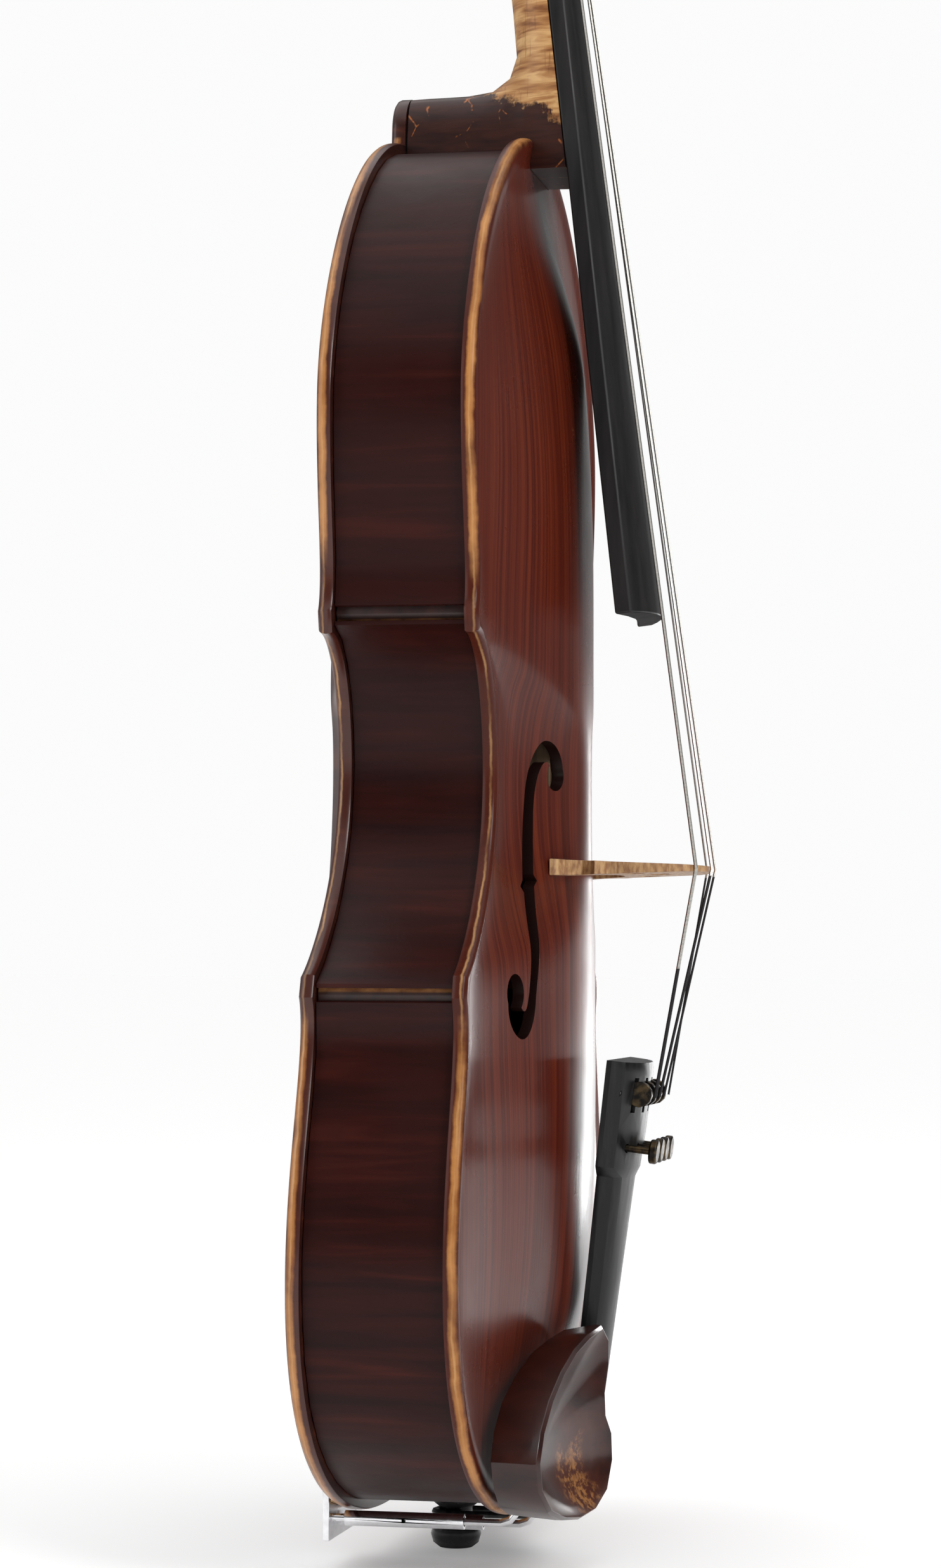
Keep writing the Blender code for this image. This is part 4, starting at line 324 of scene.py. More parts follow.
def neck_wood():
    """Bare golden maple with curled flames, varnished dark at the heel and the head."""
    shader = Shader("neck_maple")
    flame = shader.noise(1.0, shader.scaled((38, 62, 400), (0.16, 0.0, 0.0)), detail=3.0, distortion=0.7)
    bare = shader.ramp(flame, (0.34, (0.20, 0.070, 0.018)), (0.48, (0.40, 0.185, 0.062)), (0.64, (0.64, 0.38, 0.16)))
    pores = shader.noise(1.0, shader.scaled((1100, 1100, 90)), detail=2.0)
    bare = shader.mix(shader.ramp(pores, (0.60, 0.0), (0.70, 0.45)), bare, (0.13, 0.045, 0.016))
    dark = shader.ramp(flame, (0.30, (0.016, 0.0042, 0.0034)), (0.72, (0.046, 0.0115, 0.0070)))
    cells = shader.add("ShaderNodeTexVoronoi", feature="DISTANCE_TO_EDGE")
    bend = shader.mix(0.012, shader.place, shader.add("ShaderNodeTexNoise").outputs["Color"])
    shader.join(bend, cells.inputs["Vector"])
    cells.inputs["Scale"].default_value = 95.0
    crack = shader.span(cells.outputs["Distance"], 0.006, 0.026, 1.0, 0.0)
    where = shader.ramp(shader.noise(75.0, detail=4.0, rough=0.7), (0.54, 0.0), (0.62, 0.9))
    dark = shader.mix(shader.sum(crack, where, "MULTIPLY"), dark, (0.42, 0.13, 0.030))
    ragged = shader.span(shader.noise(120.0, detail=6.0, rough=0.7), 0.2, 0.8, -0.006, 0.006)
    level = shader.sum(shader.axis("Z"), shader.sum(shader.axis("Y"), -0.42, "MULTIPLY"))
    heel = shader.span(shader.sum(level, ragged), 0.4150, 0.4172, 1.0, 0.0)
    head = shader.span(shader.sum(shader.axis("Z"), ragged), 0.548, 0.553, 0.0, 1.0)
    varnished = shader.sum(heel, head, "MAXIMUM")
    shader.bump(flame, 0.0002, 0.12)
    rough = shader.underside(shader.span(varnished, 0.0, 1.0, 0.40, 0.34))
    return shader.finish(shader.mix(varnished, bare, dark), rough, coat=0.05, coat_roughness=0.2, specular=0.3)


def ebony(name="ebony_polish", rough=0.42):
    shader = Shader(name)
    streak = shader.noise(1.0, shader.scaled((260, 260, 22)), detail=4.0)
    colour = shader.ramp(streak, (0.3, (0.006, 0.006, 0.0065)), (0.75, (0.020, 0.018, 0.018)))
    shader.bump(streak, 0.0002, 0.2)
    return shader.finish(
        colour, shader.underside(shader.span(shader.noise(40.0), 0.3, 0.7, rough - 0.08, rough + 0.1)), specular=0.3
    )


def bridge_wood():
    """Pale brown maple with short dark rays."""
    shader = Shader("bridge_maple")
    rays = shader.noise(1.0, shader.scaled((240, 900, 300)), detail=3.0)
    colour = shader.ramp(rays, (0.35, (0.26, 0.12, 0.05)), (0.55, (0.44, 0.25, 0.11)), (0.75, (0.56, 0.35, 0.17)))
    shader.bump(rays, 0.0002, 0.3)
    return shader.finish(colour, 0.5)


def chinrest_wood():
    """Dark glossy red-brown, worn golden low in the bowl."""
    shader = Shader("chinrest_varnish")
    figure = shader.noise(1.0, shader.scaled((60, 60, 160), (0.0, 0.5, 0.0)), detail=4.0, distortion=0.5)
    colour = shader.ramp(figure, (0.3, (0.014, 0.0034, 0.0028)), (0.7, (0.042, 0.0092, 0.0056)))
    away = shader.add("ShaderNodeVectorMath", operation="DISTANCE")
    shader.join(shader.place, away.inputs[0])
    away.inputs[1].default_value = (-0.036, -0.024, 0.0115)
    spread = shader.sum(away.outputs["Value"], shader.span(shader.noise(90.0, detail=6.0, rough=0.65), 0.25, 0.75, -0.010, 0.010))
    reddish = shader.span(spread, 0.006, 0.024, 0.8, 0.0)
    colour = shader.mix(reddish, colour, (0.085, 0.018, 0.008))
    flecks = shader.ramp(shader.noise(420.0, detail=5.0, rough=0.7), (0.47, 0.0), (0.56, 1.0))
    worn = shader.sum(shader.span(spread, 0.004, 0.013, 0.9, 0.0), flecks, "MULTIPLY")
    colour = shader.mix(worn, colour, (0.36, 0.155, 0.045))
    colour = varnish_flaws(shader, colour, (0.50, 0.20, 0.05), 0.5)
    return shader.finish(colour, 0.29, coat=0.22, coat_roughness=0.14, specular=0.4)


def composite():
    """The tailpiece's black moulded gloss, finely scuffed."""
    shader = Shader("black_composite")
    scuff = shader.noise(1.0, shader.scaled((500, 500, 40)), detail=4.0)
    colour = shader.ramp(scuff, (0.45, (0.006, 0.006, 0.0065)), (0.75, (0.018, 0.018, 0.019)))
    return shader.finish(colour, shader.span(scuff, 0.3, 0.8, 0.30, 0.46), specular=0.28)


def metal(name, bright, worn, rough=0.25):
    """Plated metal with rubbed patches."""
    shader = Shader(name)
    patches = shader.ramp(shader.noise(320.0, detail=5.0), (0.42, 0.0), (0.62, 1.0))
    colour = shader.mix(patches, bright, worn)
    return shader.finish(colour, shader.span(shader.noise(400.0), 0.3, 0.7, rough - 0.08, rough + 0.12), metallic=1.0)


def wound_steel(name, silk_level):
    """Fine windings across the string, wrapped in dark silk at both ends."""
    shader = Shader(name)
    wave = shader.add("ShaderNodeTexWave", wave_type="BANDS", bands_direction="Z")
    shader.join(shader.place, wave.inputs["Vector"])
    wave.inputs["Scale"].default_value = 900.0
    steel = shader.mix(wave.outputs["Fac"], (0.34, 0.33, 0.30), (0.80, 0.78, 0.72))
    low = shader.span(shader.axis("Z"), silk_level - 0.0003, silk_level, 1.0, 0.0)
    high = shader.span(shader.axis("Z"), 0.5560, 0.5563)
    silk = shader.sum(low, high, "MAXIMUM")
    shader.join(shader.sum(1.0, silk, "SUBTRACT"), shader.main.inputs["Metallic"])
    shader.bump(wave.outputs["Fac"], 0.0001, 0.4)
    colour = shader.mix(silk, steel, (0.012, 0.010, 0.012))
    rough = shader.span(silk, 0.0, 1.0, 0.28, 0.8)
    return shader.finish(colour, rough, metallic=None)


def cork():
    shader = Shader("cork_grain")
    cells = shader.add("ShaderNodeTexVoronoi")
    shader.join(shader.place, cells.inputs["Vector"])
    cells.inputs["Scale"].default_value = 900.0
    colour = shader.ramp(cells.outputs["Distance"], (0.1, (0.20, 0.10, 0.045)), (0.5, (0.48, 0.29, 0.14)))
    shader.bump(cells.outputs["Distance"], 0.0003, 0.6)
    return shader.finish(colour, 0.85)


def inner_wood():
    shader = Shader("inner_spruce")
    grain = shader.noise(1.0, shader.scaled((500, 500, 14)), detail=3.0)
    colour = shader.ramp(grain, (0.35, (0.060, 0.032, 0.015)), (0.7, (0.13, 0.078, 0.038)))
    return shader.finish(colour, 0.8)


def corner_wood():
    """A corner block: varnished where its tip shows, with the ribs' worn joint line."""
    shader = Shader("corner_varnish")
    speckle = shader.noise(260.0, detail=5.0)
    dark = shader.ramp(speckle, (0.35, (0.012, 0.0034, 0.003)), (0.7, (0.030, 0.008, 0.005)))
    worn = shader.ramp(speckle, (0.35, (0.15, 0.050, 0.018)), (0.65, (0.36, 0.16, 0.06)))
    level = shader.axis("Z")
    lower = shader.sum(shader.span(level, 0.1518, 0.1524), shader.span(level, 0.1536, 0.1542, 1.0, 0.0), "MULTIPLY")
    upper = shader.sum(shader.span(level, 0.2528, 0.2534), shader.span(level, 0.2546, 0.2552, 1.0, 0.0), "MULTIPLY")
    line = shader.sum(lower, upper, "MAXIMUM")
    return shader.finish(shader.mix(line, dark, worn), 0.45)


def gut():
    shader = Shader("gut_black")
    colour = shader.ramp(shader.noise(600.0), (0.4, (0.012, 0.012, 0.012)), (0.7, (0.04, 0.04, 0.04)))
    return shader.finish(colour, 0.45)


# Plates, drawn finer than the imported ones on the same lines


def blend(a, b, t):
    return a + (b - a) * t


def ease(t):
    t = min(max(t, 0.0), 1.0)
    return t * t * (3 - 2 * t)


def bezier(start, pull, push, end, steps):
    """Points on one cubic arc, both ends included, from millimetres."""
    a, b, c, d = (Vector(p) * MM for p in (start, pull, push, end))
    points = []
    for i in range(steps + 1):
        t = i / steps
        u = 1 - t
        points.append(a * u**3 + b * 3 * u * u * t + c * 3 * u * t * t + d * t**3)
    return points


def outline_half(detail):
    """The treble half of the plates' edge, from the lower to the upper centre."""
    low_in, low_out = (108.19, 150.46), (106.21, 156.74)
    up_in, up_out = (92.74, 250.83), (94.46, 257.17)
    points = bezier((0, 0), (68.44, 0), (118, 24.18), (118, 78), 9 * detail)[:-1]
    points += bezier((118, 78), (118, 111.33), (98.69, 136.46), low_in, 7 * detail)
    points += bezier(low_out, (95.01, 161.94), (67.0, 182.5), (66.5, 212.5), 7 * detail)[:-1]
    points += bezier((66.5, 212.5), (66.5, 230.0), (76.24, 250.33), up_in, 6 * detail)
    points += bezier(up_out, (88.46, 268.17), (100, 288), (100, 317), 6 * detail)[:-1]
    points += bezier((100, 317), (100, 350.82), (57, 406), (0, 406), 9 * detail)
    return points


OUTLINE = outline_half(2)


def loop_inset(loop, distance):
    """Shift a closed loop inward, keeping its corners."""
    moved = []
    count = len(loop)
    for i, point in enumerate(loop):
        back = (point - loop[i - 1]).normalized()
        ahead = (loop[(i + 1) % count] - point).normalized()
        normal = Vector((-back.y - ahead.y, back.x + ahead.x)).normalized()
        cosine = max(normal.x * -back.y + normal.y * back.x, 0.5)
        moved.append(point + normal * distance / cosine)
    return moved


def spine_point(point):
    return Vector((0.0, blend(ARCH_LOW_LEVEL, ARCH_HIGH_LEVEL, point.y / BODY_LENGTH)))


def crown_height(level, arch):
    if level < ARCH_PEAK_LEVEL:
        reach = (ARCH_PEAK_LEVEL - level) / (ARCH_PEAK_LEVEL - ARCH_LOW_LEVEL)
    else:
        reach = (level - ARCH_PEAK_LEVEL) / (ARCH_HIGH_LEVEL - ARCH_PEAK_LEVEL)
    return arch - ARCH_FALL * reach**2


def softened(values, rounds):
    """A closed row of values with its corners rounded off."""
    for _ in range(rounds):
        values = [
            (values[i - 1] + values[i] * 2 + values[(i + 1) % len(values)]) / 4 for i in range(len(values))
        ]
    return values


def plate_form(arch, thickness, outward):
    """A closed arched plate with a beaded edge, a channel inside it and a hollow underside."""
    half = outline_half(PLATE_DETAIL)
    outline = half + [Vector((-p.x, p.y)) for p in reversed(half[1:-1])]
    spine = [spine_point(q) for q in outline]
    form = bmesh.new()
    rings = []

    def add_ring(points, heights):
        ring = []
        for point, height in zip(points, heights):
            level = 0.0 if outward < 0 else rib_height(point.y)
            ring.append(form.verts.new((point.x, level + outward * height, point.y)))
        rings.append(ring)

    def arch_heights(t, below):
        share = (1 - math.cos(math.pi * t)) / 2
        return [blend(CHANNEL_THICKNESS, crown_height(s.y, arch), share) - below for s in spine]

    def toward_spine(points, reach):
        return [p + (s - p).normalized() * reach for p, s in zip(points, spine)]

    bead = loop_inset(outline, BEAD_WIDTH)
    channel = toward_spine(bead, CHANNEL_REACH)
    margin = toward_spine(bead, MARGIN_REACH)
    for step in range(8, 0, -1):
        t = step / 8
        sink = blend(CHANNEL_THICKNESS, thickness, ease(t * 2))
        points = softened([blend(p, s, t) for p, s in zip(margin, spine)], round(10 + 50 * t))
        add_ring(points, [max(h, GAP / 2) for h in softened(arch_heights(t, sink), 20)])
    add_ring(margin, [GAP / 2] * len(outline))
    for inset, share in ((0.8, 0.035), (0.45, 0.05), (0.15, 0.16), (0.0, 0.42), (0.05, 0.60), (0.25, 0.77), (0.65, 0.90), (1.2, 0.975), (1.8, 1.0)):
        add_ring(loop_inset(outline, inset * MM), [share * EDGE_THICKNESS] * len(outline))
    for step in range(1, 7):
        t = step / 6
        drop = blend(EDGE_THICKNESS, CHANNEL_THICKNESS, ease(t))
        add_ring(softened(toward_spine(bead, CHANNEL_REACH * t), 2 * step), [drop] * len(outline))
    channel = softened(channel, 12)
    for step in range(1, ARCH_RINGS + 1):
        t = step / ARCH_RINGS
        points = softened([blend(p, s, t) for p, s in zip(channel, spine)], round(90 * t * (1 - t) + 8))
        if step == ARCH_RINGS:
            points = spine
        add_ring(points, softened(arch_heights(t, 0.0), 12))
    for first, second in zip(rings, rings[1:]):
        for i in range(len(outline)):
            j = (i + 1) % len(outline)
            form.faces.new((first[i], first[j], second[j], second[i]))
    bmesh.ops.remove_doubles(form, verts=form.verts, dist=0.01 * MM)
    bmesh.ops.dissolve_degenerate(form, edges=form.edges, dist=0.01 * MM)
    bmesh.ops.recalc_face_normals(form, faces=form.faces)
    return form


def rib_height(level):
    return blend(RIB_HEIGHT_LOW, RIB_HEIGHT_TOP, level / BODY_LENGTH)


def skinned(sections):
    """A closed form through equal closed sections."""
    form = bmesh.new()
    rings = [[form.verts.new(point) for point in section] for section in sections]
    for first, second in zip(rings, rings[1:]):
        for i in range(len(first)):
            j = (i + 1) % len(first)
            form.faces.new((first[i], first[j], second[j], second[i]))
    form.faces.new(rings[0])
    form.faces.new(list(reversed(rings[-1])))
    bmesh.ops.recalc_face_normals(form, faces=form.faces)
    return form


def combined(form, tools):
    """The mesh left after each tool is cut from the form or joined to it."""
    data = bpy.data.meshes.new("base")
    form.to_mesh(data)
    form.free()
    base = bpy.data.objects.new("base", data)
    bpy.context.scene.collection.objects.link(base)
    others = []
    for operation, tool in tools:
        other_data = bpy.data.meshes.new("tool")
        tool.to_mesh(other_data)
        tool.free()
        other = bpy.data.objects.new("tool", other_data)
        bpy.context.scene.collection.objects.link(other)
        step = base.modifiers.new("step", "BOOLEAN")
        step.operation, step.solver, step.object = operation, "EXACT", other
        others.append(other)
    bpy.context.view_layer.update()
    graph = bpy.context.evaluated_depsgraph_get()
    result = bpy.data.meshes.new_from_object(base.evaluated_get(graph))
    for item in (base, *others):
        bpy.data.objects.remove(item)
    return result


def eye_arc(centre, radius, start, end, steps):
    angles = [math.radians(blend(start, end, i / steps)) for i in range(steps + 1)]
    return [Vector(centre) + Vector((math.cos(a), math.sin(a))) * radius for a in angles]


def sound_hole():
    """The treble sound hole's outline in millimetres."""
    upper, lower = Vector((25.0, 214.5)), Vector((60.5, 151.5))
    middle = (upper + lower) / 2
    k = 3

    def at(centre, x, z):
        return centre + Vector((x, z))

    def arc(start, pull, push, end, steps):
        return [p / MM for p in bezier(start, pull, push, end, steps)]

    first_eye = eye_arc(upper, 4.3, 150, 405, 7 * k)
    second_eye = eye_arc(lower, 5.6, -30, 225, 8 * k)
    points = list(first_eye)
    points += arc(first_eye[-1], at(upper, 6.5, 6.5), at(upper, 10.0, -0.5), at(upper, 11.2, -10.5), 4 * k)[1:]
    points += arc(points[-1], at(upper, 11.8, -16.5), at(middle, -4.5, 7.0), at(middle, -3.4, 2.6), 3 * k)[1:]
    points += [at(middle, -4.8, 0.8), at(middle, -2.8, -0.8)]
    points += arc(points[-1], at(middle, -1.3, -7.0), at(lower, -15.5, 8.5), at(lower, -13.5, -1.0), 4 * k)[1:]
    points += arc(points[-1], at(lower, -12.9, -9.0), at(lower, -7.5, -14.5), at(lower, -2.0, -12.5), 4 * k)[1:]
    points += arc(points[-1], at(lower, 2.0, -11.1), at(lower, 5.0, -7.5), second_eye[0], 3 * k)[1:-1]
    points += second_eye
    points += arc(second_eye[-1], at(lower, -8.0, -8.0), at(lower, -9.2, 0.5), at(lower, -10.5, 8.5), 4 * k)[1:]
    points += arc(points[-1], at(lower, -11.3, 14.5), at(middle, 4.4, -7.0), at(middle, 3.4, -2.8), 3 * k)[1:]
    points += [at(middle, 4.8, -1.0), at(middle, 3.0, 0.8)]
    points += arc(points[-1], at(middle, 1.5, 7.0), at(upper, 17.0, -14.5), at(upper, 15.6, -6.5), 3 * k)[1:]
    points += arc(points[-1], at(upper, 14.2, 2.0), at(upper, 10.5, 10.1), at(upper, 5.5, 10.1), 4 * k)[1:]
    points += arc(points[-1], at(upper, 1.5, 10.1), at(upper, -3.0, 7.0), first_eye[0], 3 * k)[1:-1]
    return points


def belly_mesh():
    tools = []
    for side in (1, -1):
        loop = [Vector((side * p.x, p.y)) * MM for p in sound_hole()]
        tools.append(("DIFFERENCE", skinned([[(p.x, y, p.y) for p in loop] for y in (0.001, -0.030)])))
    notch = []
    for y in (-2 * BOARD_RISE, RIB_HEIGHT_TOP * 1.2):
        reach = (y + BOARD_RISE) / (RIB_HEIGHT_TOP + BOARD_RISE)
        half = blend(16.0, 11.0, reach) * MM + GAP
        low, high = BODY_LENGTH - 10.5 * MM - GAP, BODY_LENGTH + 14.7 * MM
        notch.append([(-half, y, low), (half, y, low), (half, y, high), (-half, y, high)])
    tools.append(("DIFFERENCE", skinned(notch)))
    low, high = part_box("saddle")
    ends = (low[0] - GAP, high[0] + GAP)
    seat = [[(ends[0], y, -0.004), (ends[1], y, -0.004), (ends[1], y, high[2] + GAP), (ends[0], y, high[2] + GAP)] for y in (-0.013, GAP)]
    tools.append(("DIFFERENCE", skinned(seat)))
    return combined(plate_form(BELLY_ARCH, BELLY_THICKNESS, -1), tools)


def back_mesh():
    base = BODY_LENGTH + 15.0 * MM - BUTTON_HALF
    root = BODY_LENGTH - 8 * MM
    outline = [Vector((-BUTTON_HALF, root))]
    for i in range(37):
        angle = math.pi - math.pi * i / 36
        outline.append(Vector((BUTTON_HALF * math.cos(angle), base + BUTTON_HALF * math.sin(angle))))
    outline.append(Vector((BUTTON_HALF, root)))
    middle = Vector((0, base))
    layers = []
    for lift, inset in ((0.18 * MM, 0.0), (0.7 * EDGE_THICKNESS, 0.0), (0.9 * EDGE_THICKNESS, 0.35 * MM), (EDGE_THICKNESS + 0.2 * MM, 1.2 * MM)):
        points = [p + (middle - p).normalized() * inset for p in outline]
        layers.append([(p.x, rib_height(p.y) + lift, p.y) for p in points])
    return combined(plate_form(BACK_ARCH, BACK_THICKNESS, 1), [("UNION", skinned(layers))])


def edge_distance(x, z):
    """How far inside the body's outline a point lies."""
    point = Vector((abs(x), z))
    least = 1.0
    for a, b in zip(OUTLINE, OUTLINE[1:]):
        along = b - a
        share = max(0.0, min(1.0, (point - a).dot(along) / max(along.length_squared, 1e-12)))
        least = min(least, (point - a - along * share).length)
    return least


def outline_normals(points):
    """Outward directions along the treble half of the edge, not averaged over its corners."""
    sides = [(b - a).normalized() for a, b in zip(points, points[1:])]
    normals = []
    for i in range(len(points)):
        before, after = sides[max(i - 1, 0)], sides[min(i, len(sides) - 1)]
        along = (before + after).normalized() if before.dot(after) > 0.8 else after
        normals.append(Vector((along.y, -along.x)))
    return normals


FINE_OUTLINE = outline_half(5)
FINE_NORMALS = outline_normals(FINE_OUTLINE)


def outline_facing(x, z):
    """The outward direction of the nearest stretch of the edge, in x and z."""
    point = Vector((abs(x), z))
    best, facing = 1.0, Vector((1, 0))
    for i, (a, b) in enumerate(zip(FINE_OUTLINE, FINE_OUTLINE[1:])):
        along = b - a
        share = max(0.0, min(1.0, (point - a).dot(along) / max(along.length_squared, 1e-12)))
        distance = (point - a - along * share).length
        if distance < best:
            best, facing = distance, FINE_NORMALS[i].lerp(FINE_NORMALS[i + 1], share)
    return Vector((facing.x * (1 if x >= 0 else -1), 0.0, facing.y)).normalized()


def follow_outline(data):
    """Shade a bent rib as one smooth curve, on the outline's own directions."""
    normals = [Vector((0, 0, 0))] * len(data.loops)
    known = {}
    for face in data.polygons:
        if abs(face.normal.y) > 0.5:
            continue
        for index in face.loop_indices:
            vertex = data.loops[index].vertex_index
            if vertex not in known:
                x, _, z = data.vertices[vertex].co
                known[vertex] = outline_facing(x, z)
            fit = known[vertex].dot(face.normal)
            if abs(fit) > 0.86:
                normals[index] = known[vertex] * (1 if fit > 0 else -1)
    data.normals_split_custom_set([tuple(normal) for normal in normals])


def across_edge(plate, y, z):
    """Place across a plate's edge, from 0 at the ribs to 1 at the outer face."""
    height = RIB_HEIGHT_LOW + (RIB_HEIGHT_TOP - RIB_HEIGHT_LOW) * z / BODY_LENGTH
    depth = -y if plate == "belly" else y - height
    return max(-0.5, min(2.0, depth / EDGE_THICKNESS))


def in_bout(z):
    """How far a height lies inside the upper or lower bout, from 0 at the waist to 1."""
    return max(0.0, min(1.0, max((0.150 - z) / 0.022, (z - 0.262) / 0.022, 0.0)))


# Pieces


def joined_faces(source, name):
    """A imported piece's mesh with its flat triangles joined into larger faces."""
    form = bmesh.new()
    form.from_mesh(source.data)
    bmesh.ops.remove_doubles(form, verts=form.verts, dist=0.000002)
    bmesh.ops.dissolve_limit(form, angle_limit=math.radians(0.3), verts=form.verts, edges=form.edges)
    data = bpy.data.meshes.new(name)
    form.to_mesh(data)
    form.free()
    return data


def dressed(node, material, bevel=0.0, angle=35, edge_plate=None, mesh=None, bent=False):
    """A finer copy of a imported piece, in its place, with smooth faces and eased edges."""
    source = frame["nodes"][node]
    data = mesh or joined_faces(source, node + "_finish")
    data.name = node + "_finish"
    data.shade_smooth()
    data.set_sharp_from_angle(angle=math.radians(angle))
    if bent:
        follow_outline(data)
    piece = bpy.data.objects.new(node + "_finish", data)
    bpy.context.scene.collection.objects.link(piece)
    data.materials.clear()
    data.materials.append(material)
    # Edge attributes for a plate's rim: they steer its wear and also its painted shadow, painted highlight and
    # painted shade.
    if edge_plate:
        edge, across, bout = (data.attributes.new(name, "FLOAT", "POINT") for name in ("edge", "across", "bout"))
        for i, vertex in enumerate(data.vertices):
            x, y, z = vertex.co
            edge.data[i].value = max(0.0, 1.0 - edge_distance(x, z) / EDGE_REACH)
            across.data[i].value = across_edge(edge_plate, y, z)
            bout.data[i].value = in_bout(z)
    if bevel:
        step = piece.modifiers.new("Eased edges", "BEVEL")
        step.width = bevel
        step.segments = 2
        step.limit_method = "ANGLE"
        step.angle_limit = math.radians(angle)
    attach(piece, source["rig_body"])
    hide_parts(node)
    return piece


def dress_all():
    sides = ("treble", "bass")
    dressed("belly_plate", belly_wood(), edge_plate="belly", mesh=belly_mesh())
    dressed("back_plate", back_wood(), edge_plate="back", mesh=back_mesh())
    ribs = rib_wood()
    for bout in ("lower", "centre", "upper"):
        for side in sides:
            dressed(f"rib_{bout}_{side}", ribs, bent=True)
    inner = inner_wood()
    corner = corner_wood()
    for side in sides:
        for bout in ("lower", "upper"):
            dressed(f"corner_block_{bout}_{side}", corner, bevel=0.3 * MM)
        for bout in ("lower", "centre", "upper"):
            dressed(f"lining_belly_{bout}_{side}", inner)
            dressed(f"lining_back_{bout}_{side}", inner)
    for name in ("end_block", "top_block", "bass_bar", "sound_post"):
        dressed(name, inner, bevel=0.2 * MM)
    dressed("neck", neck_wood())
    black = ebony()
    dressed("fingerboard", black, bevel=0.5 * MM, angle=30)
    dressed("nut", black, bevel=0.3 * MM)
    dressed("saddle", black, bevel=0.3 * MM)
    polished = ebony("ebony_turned", 0.26)
    dressed("end_button", polished)
    for label in "cgda":
        dressed("peg_" + label, polished, angle=45)
    dressed("bridge", bridge_wood(), bevel=0.25 * MM)
    dressed("tailpiece", composite(), bevel=0.3 * MM)
    dressed("tail_gut", gut())
    steel = metal("steel_pin", (0.55, 0.55, 0.56), (0.35, 0.34, 0.33))
    dressed("tuner_pin", steel)
    lever = metal("blackened_brass", (0.022, 0.020, 0.019), (0.11, 0.080, 0.045), 0.34)
    knob = metal("worn_brass", (0.026, 0.023, 0.020), (0.10, 0.070, 0.036), 0.40)
    near = wound_steel("wound_steel_c", 0.1590)
    rest = wound_steel("wound_steel", 0.1862)
    for label in "cgda":
        dressed("tuner_lever_" + label, lever, bevel=0.25 * MM)
        dressed("tuner_screw_" + label, knob, bevel=0.15 * MM)
        dressed("string_" + label, near if label == "c" else rest)
    dressed("chinrest", chinrest_wood(), bevel=0.6 * MM, angle=40)
    pads = cork()
    dressed("cork_belly", pads)
    dressed("cork_back", pads)
    chrome = metal("chrome_plate", (0.86, 0.86, 0.88), (0.78, 0.78, 0.80), 0.14)
    for name in ("clamp_bracket", "clamp_jaw", "clamp_barrel_near", "clamp_barrel_far"):
        dressed(name, chrome, bevel=0.2 * MM)


# Camera, light and floor


def add_camera():
    ahead = Vector(
        (
            math.cos(CAMERA_YAW) * math.cos(CAMERA_PITCH),
            math.sin(CAMERA_YAW) * math.cos(CAMERA_PITCH),
            math.sin(CAMERA_PITCH),
        )
    )
    level = ahead.cross(Vector((0, 0, 1))).normalized()
    rise = level.cross(ahead)
    right = level * math.cos(CAMERA_ROLL) + rise * math.sin(CAMERA_ROLL)
    up = rise * math.cos(CAMERA_ROLL) - level * math.sin(CAMERA_ROLL)
    data = bpy.data.cameras.new("view")
    data.sensor_fit = "AUTO"
    data.sensor_width = SENSOR
    data.lens = FOCAL_PIXELS * SENSOR / PHOTO_HEIGHT
    data.clip_start = 0.05
    camera = bpy.data.objects.new("view", data)
    bpy.context.scene.collection.objects.link(camera)
    turn = Matrix((right, up, -ahead)).transposed().to_4x4()
    camera.matrix_world = Matrix.Translation(CAMERA_PLACE) @ turn
    bpy.context.scene.camera = camera


def add_light(name, place, target, size, power, height=None):
    data = bpy.data.lights.new(name, "AREA")
    data.shape = "RECTANGLE"
    data.size = size
    data.size_y = height or size
    data.energy = power
    lamp = bpy.data.objects.new(name, data)
    bpy.context.scene.collection.objects.link(lamp)
    lamp.location = place
    lamp.rotation_euler = (Vector(target) - Vector(place)).to_track_quat("-Z", "Y").to_euler()
    return lamp


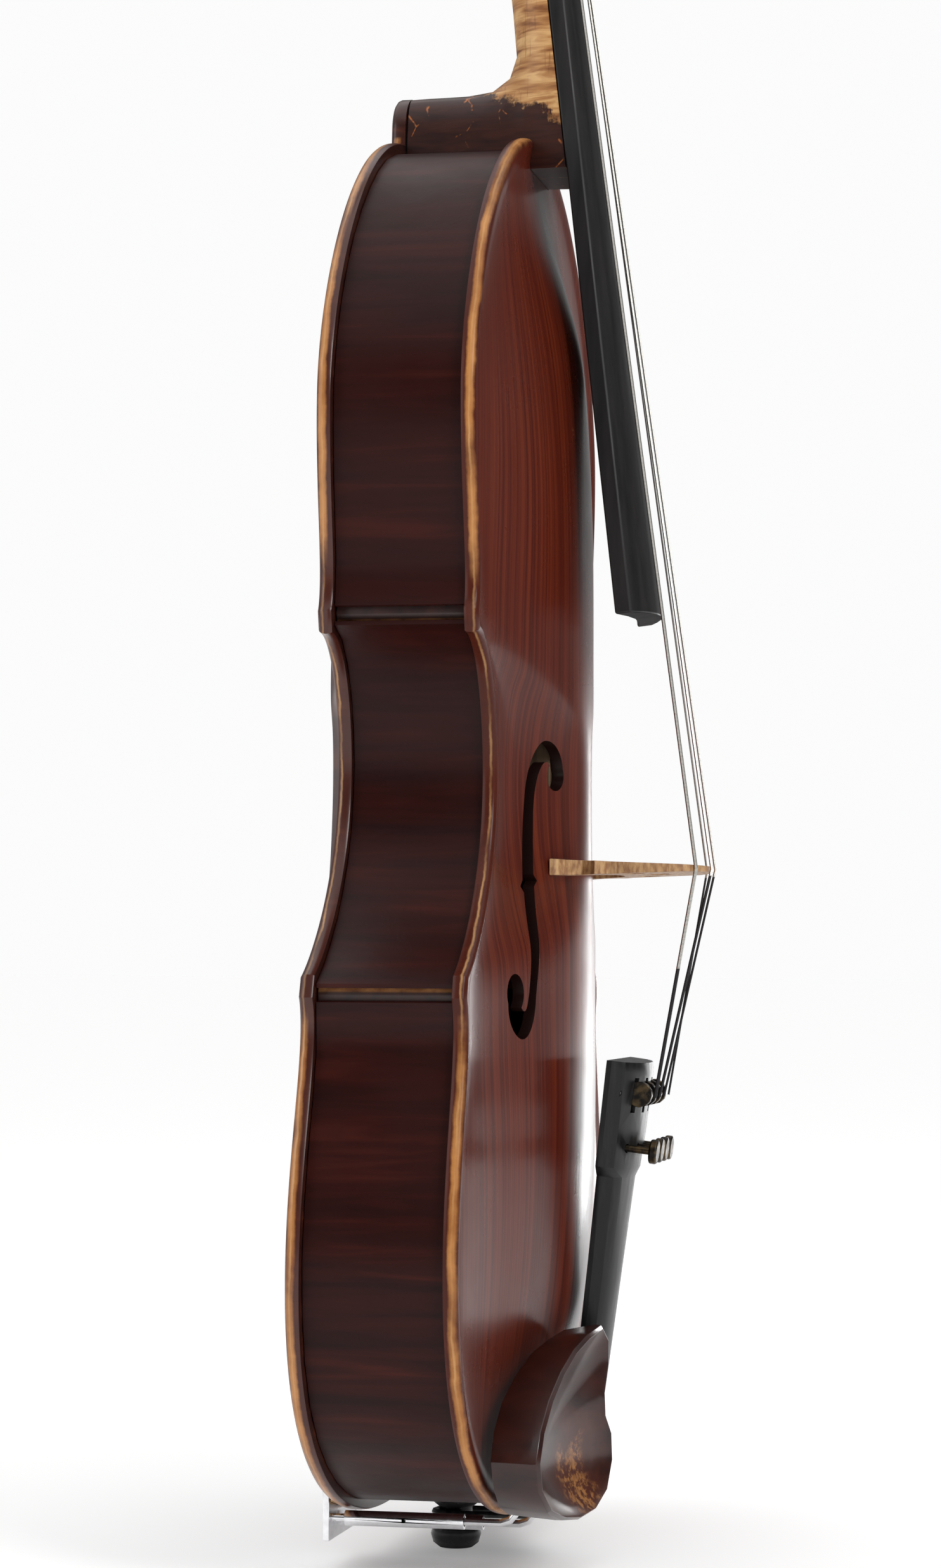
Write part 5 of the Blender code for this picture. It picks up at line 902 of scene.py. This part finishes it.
def add_world():
    """A pale room: bright overhead and behind the object, dim towards its belly."""
    world = bpy.data.worlds.new("studio")
    world.use_nodes = True
    tree = world.node_tree
    background = tree.nodes["Background"]
    place = tree.nodes.new("ShaderNodeTexCoord").outputs["Generated"]
    parts = tree.nodes.new("ShaderNodeSeparateXYZ")
    tree.links.new(place, parts.inputs[0])

    def step(value, low, high, start, end):
        node = tree.nodes.new("ShaderNodeMapRange")
        node.interpolation_type = "SMOOTHSTEP"
        tree.links.new(value, node.inputs["Value"])
        for key, number in zip(("From Min", "From Max", "To Min", "To Max"), (low, high, start, end)):
            node.inputs[key].default_value = number
        return node.outputs["Result"]

    def join(kind, first, second):
        node = tree.nodes.new("ShaderNodeMath")
        node.operation = kind
        for socket, value in zip(node.inputs, (first, second)):
            if isinstance(value, float):
                socket.default_value = value
            else:
                tree.links.new(value, socket)
        return node.outputs[0]

    overhead = step(parts.outputs["Z"], 0.45, 0.90, 0.0, 1.25)
    behind = step(parts.outputs["X"], 0.90, 0.985, 0.0, 0.35)
    opposite = step(parts.outputs["Y"], 0.3, 0.9, 0.0, 0.35)
    room = join("ADD", join("ADD", overhead, behind), join("ADD", opposite, 0.10))
    seen = tree.nodes.new("ShaderNodeLightPath").outputs["Is Camera Ray"]
    mixed = tree.nodes.new("ShaderNodeMix")
    mixed.data_type = "FLOAT"
    tree.links.new(seen, mixed.inputs[0])
    tree.links.new(room, mixed.inputs[2])
    mixed.inputs[3].default_value = 0.97
    background.inputs["Color"].default_value = (1.0, 1.0, 1.0, 1.0)
    tree.links.new(mixed.outputs[0], background.inputs["Strength"])
    bpy.context.scene.world = world


def add_stage():
    form = bmesh.new()
    bmesh.ops.create_grid(form, x_segments=1, y_segments=1, size=60.0)
    data = bpy.data.meshes.new("floor")
    form.to_mesh(data)
    form.free()
    floor = bpy.data.objects.new("floor", data)
    bpy.context.scene.collection.objects.link(floor)
    floor.location = (0, 0, CAD_BOX[0][2] - 0.0005)
    shader = Shader("pale_floor")
    shader.main.inputs["Emission Color"].default_value = (1.0, 1.0, 1.0, 1.0)
    shader.main.inputs["Emission Strength"].default_value = 0.26
    data.materials.append(shader.finish((0.88, 0.88, 0.88), 0.9, specular=0.1))
    middle = (0.0, 0.0, 0.22)
    add_light("key", (-1.2, -1.5, 1.3), middle, 0.8, 20.0)
    add_light("far_side", (1.3, -0.24, 0.02), middle, 0.15, 2.6, 0.6)
    add_light("back_fill", (-0.9, 1.3, 0.7), middle, 0.9, 5.0)


bpy.context.scene.view_settings.view_transform = "Standard"
add_world()
add_camera()
add_stage()
dress_all()
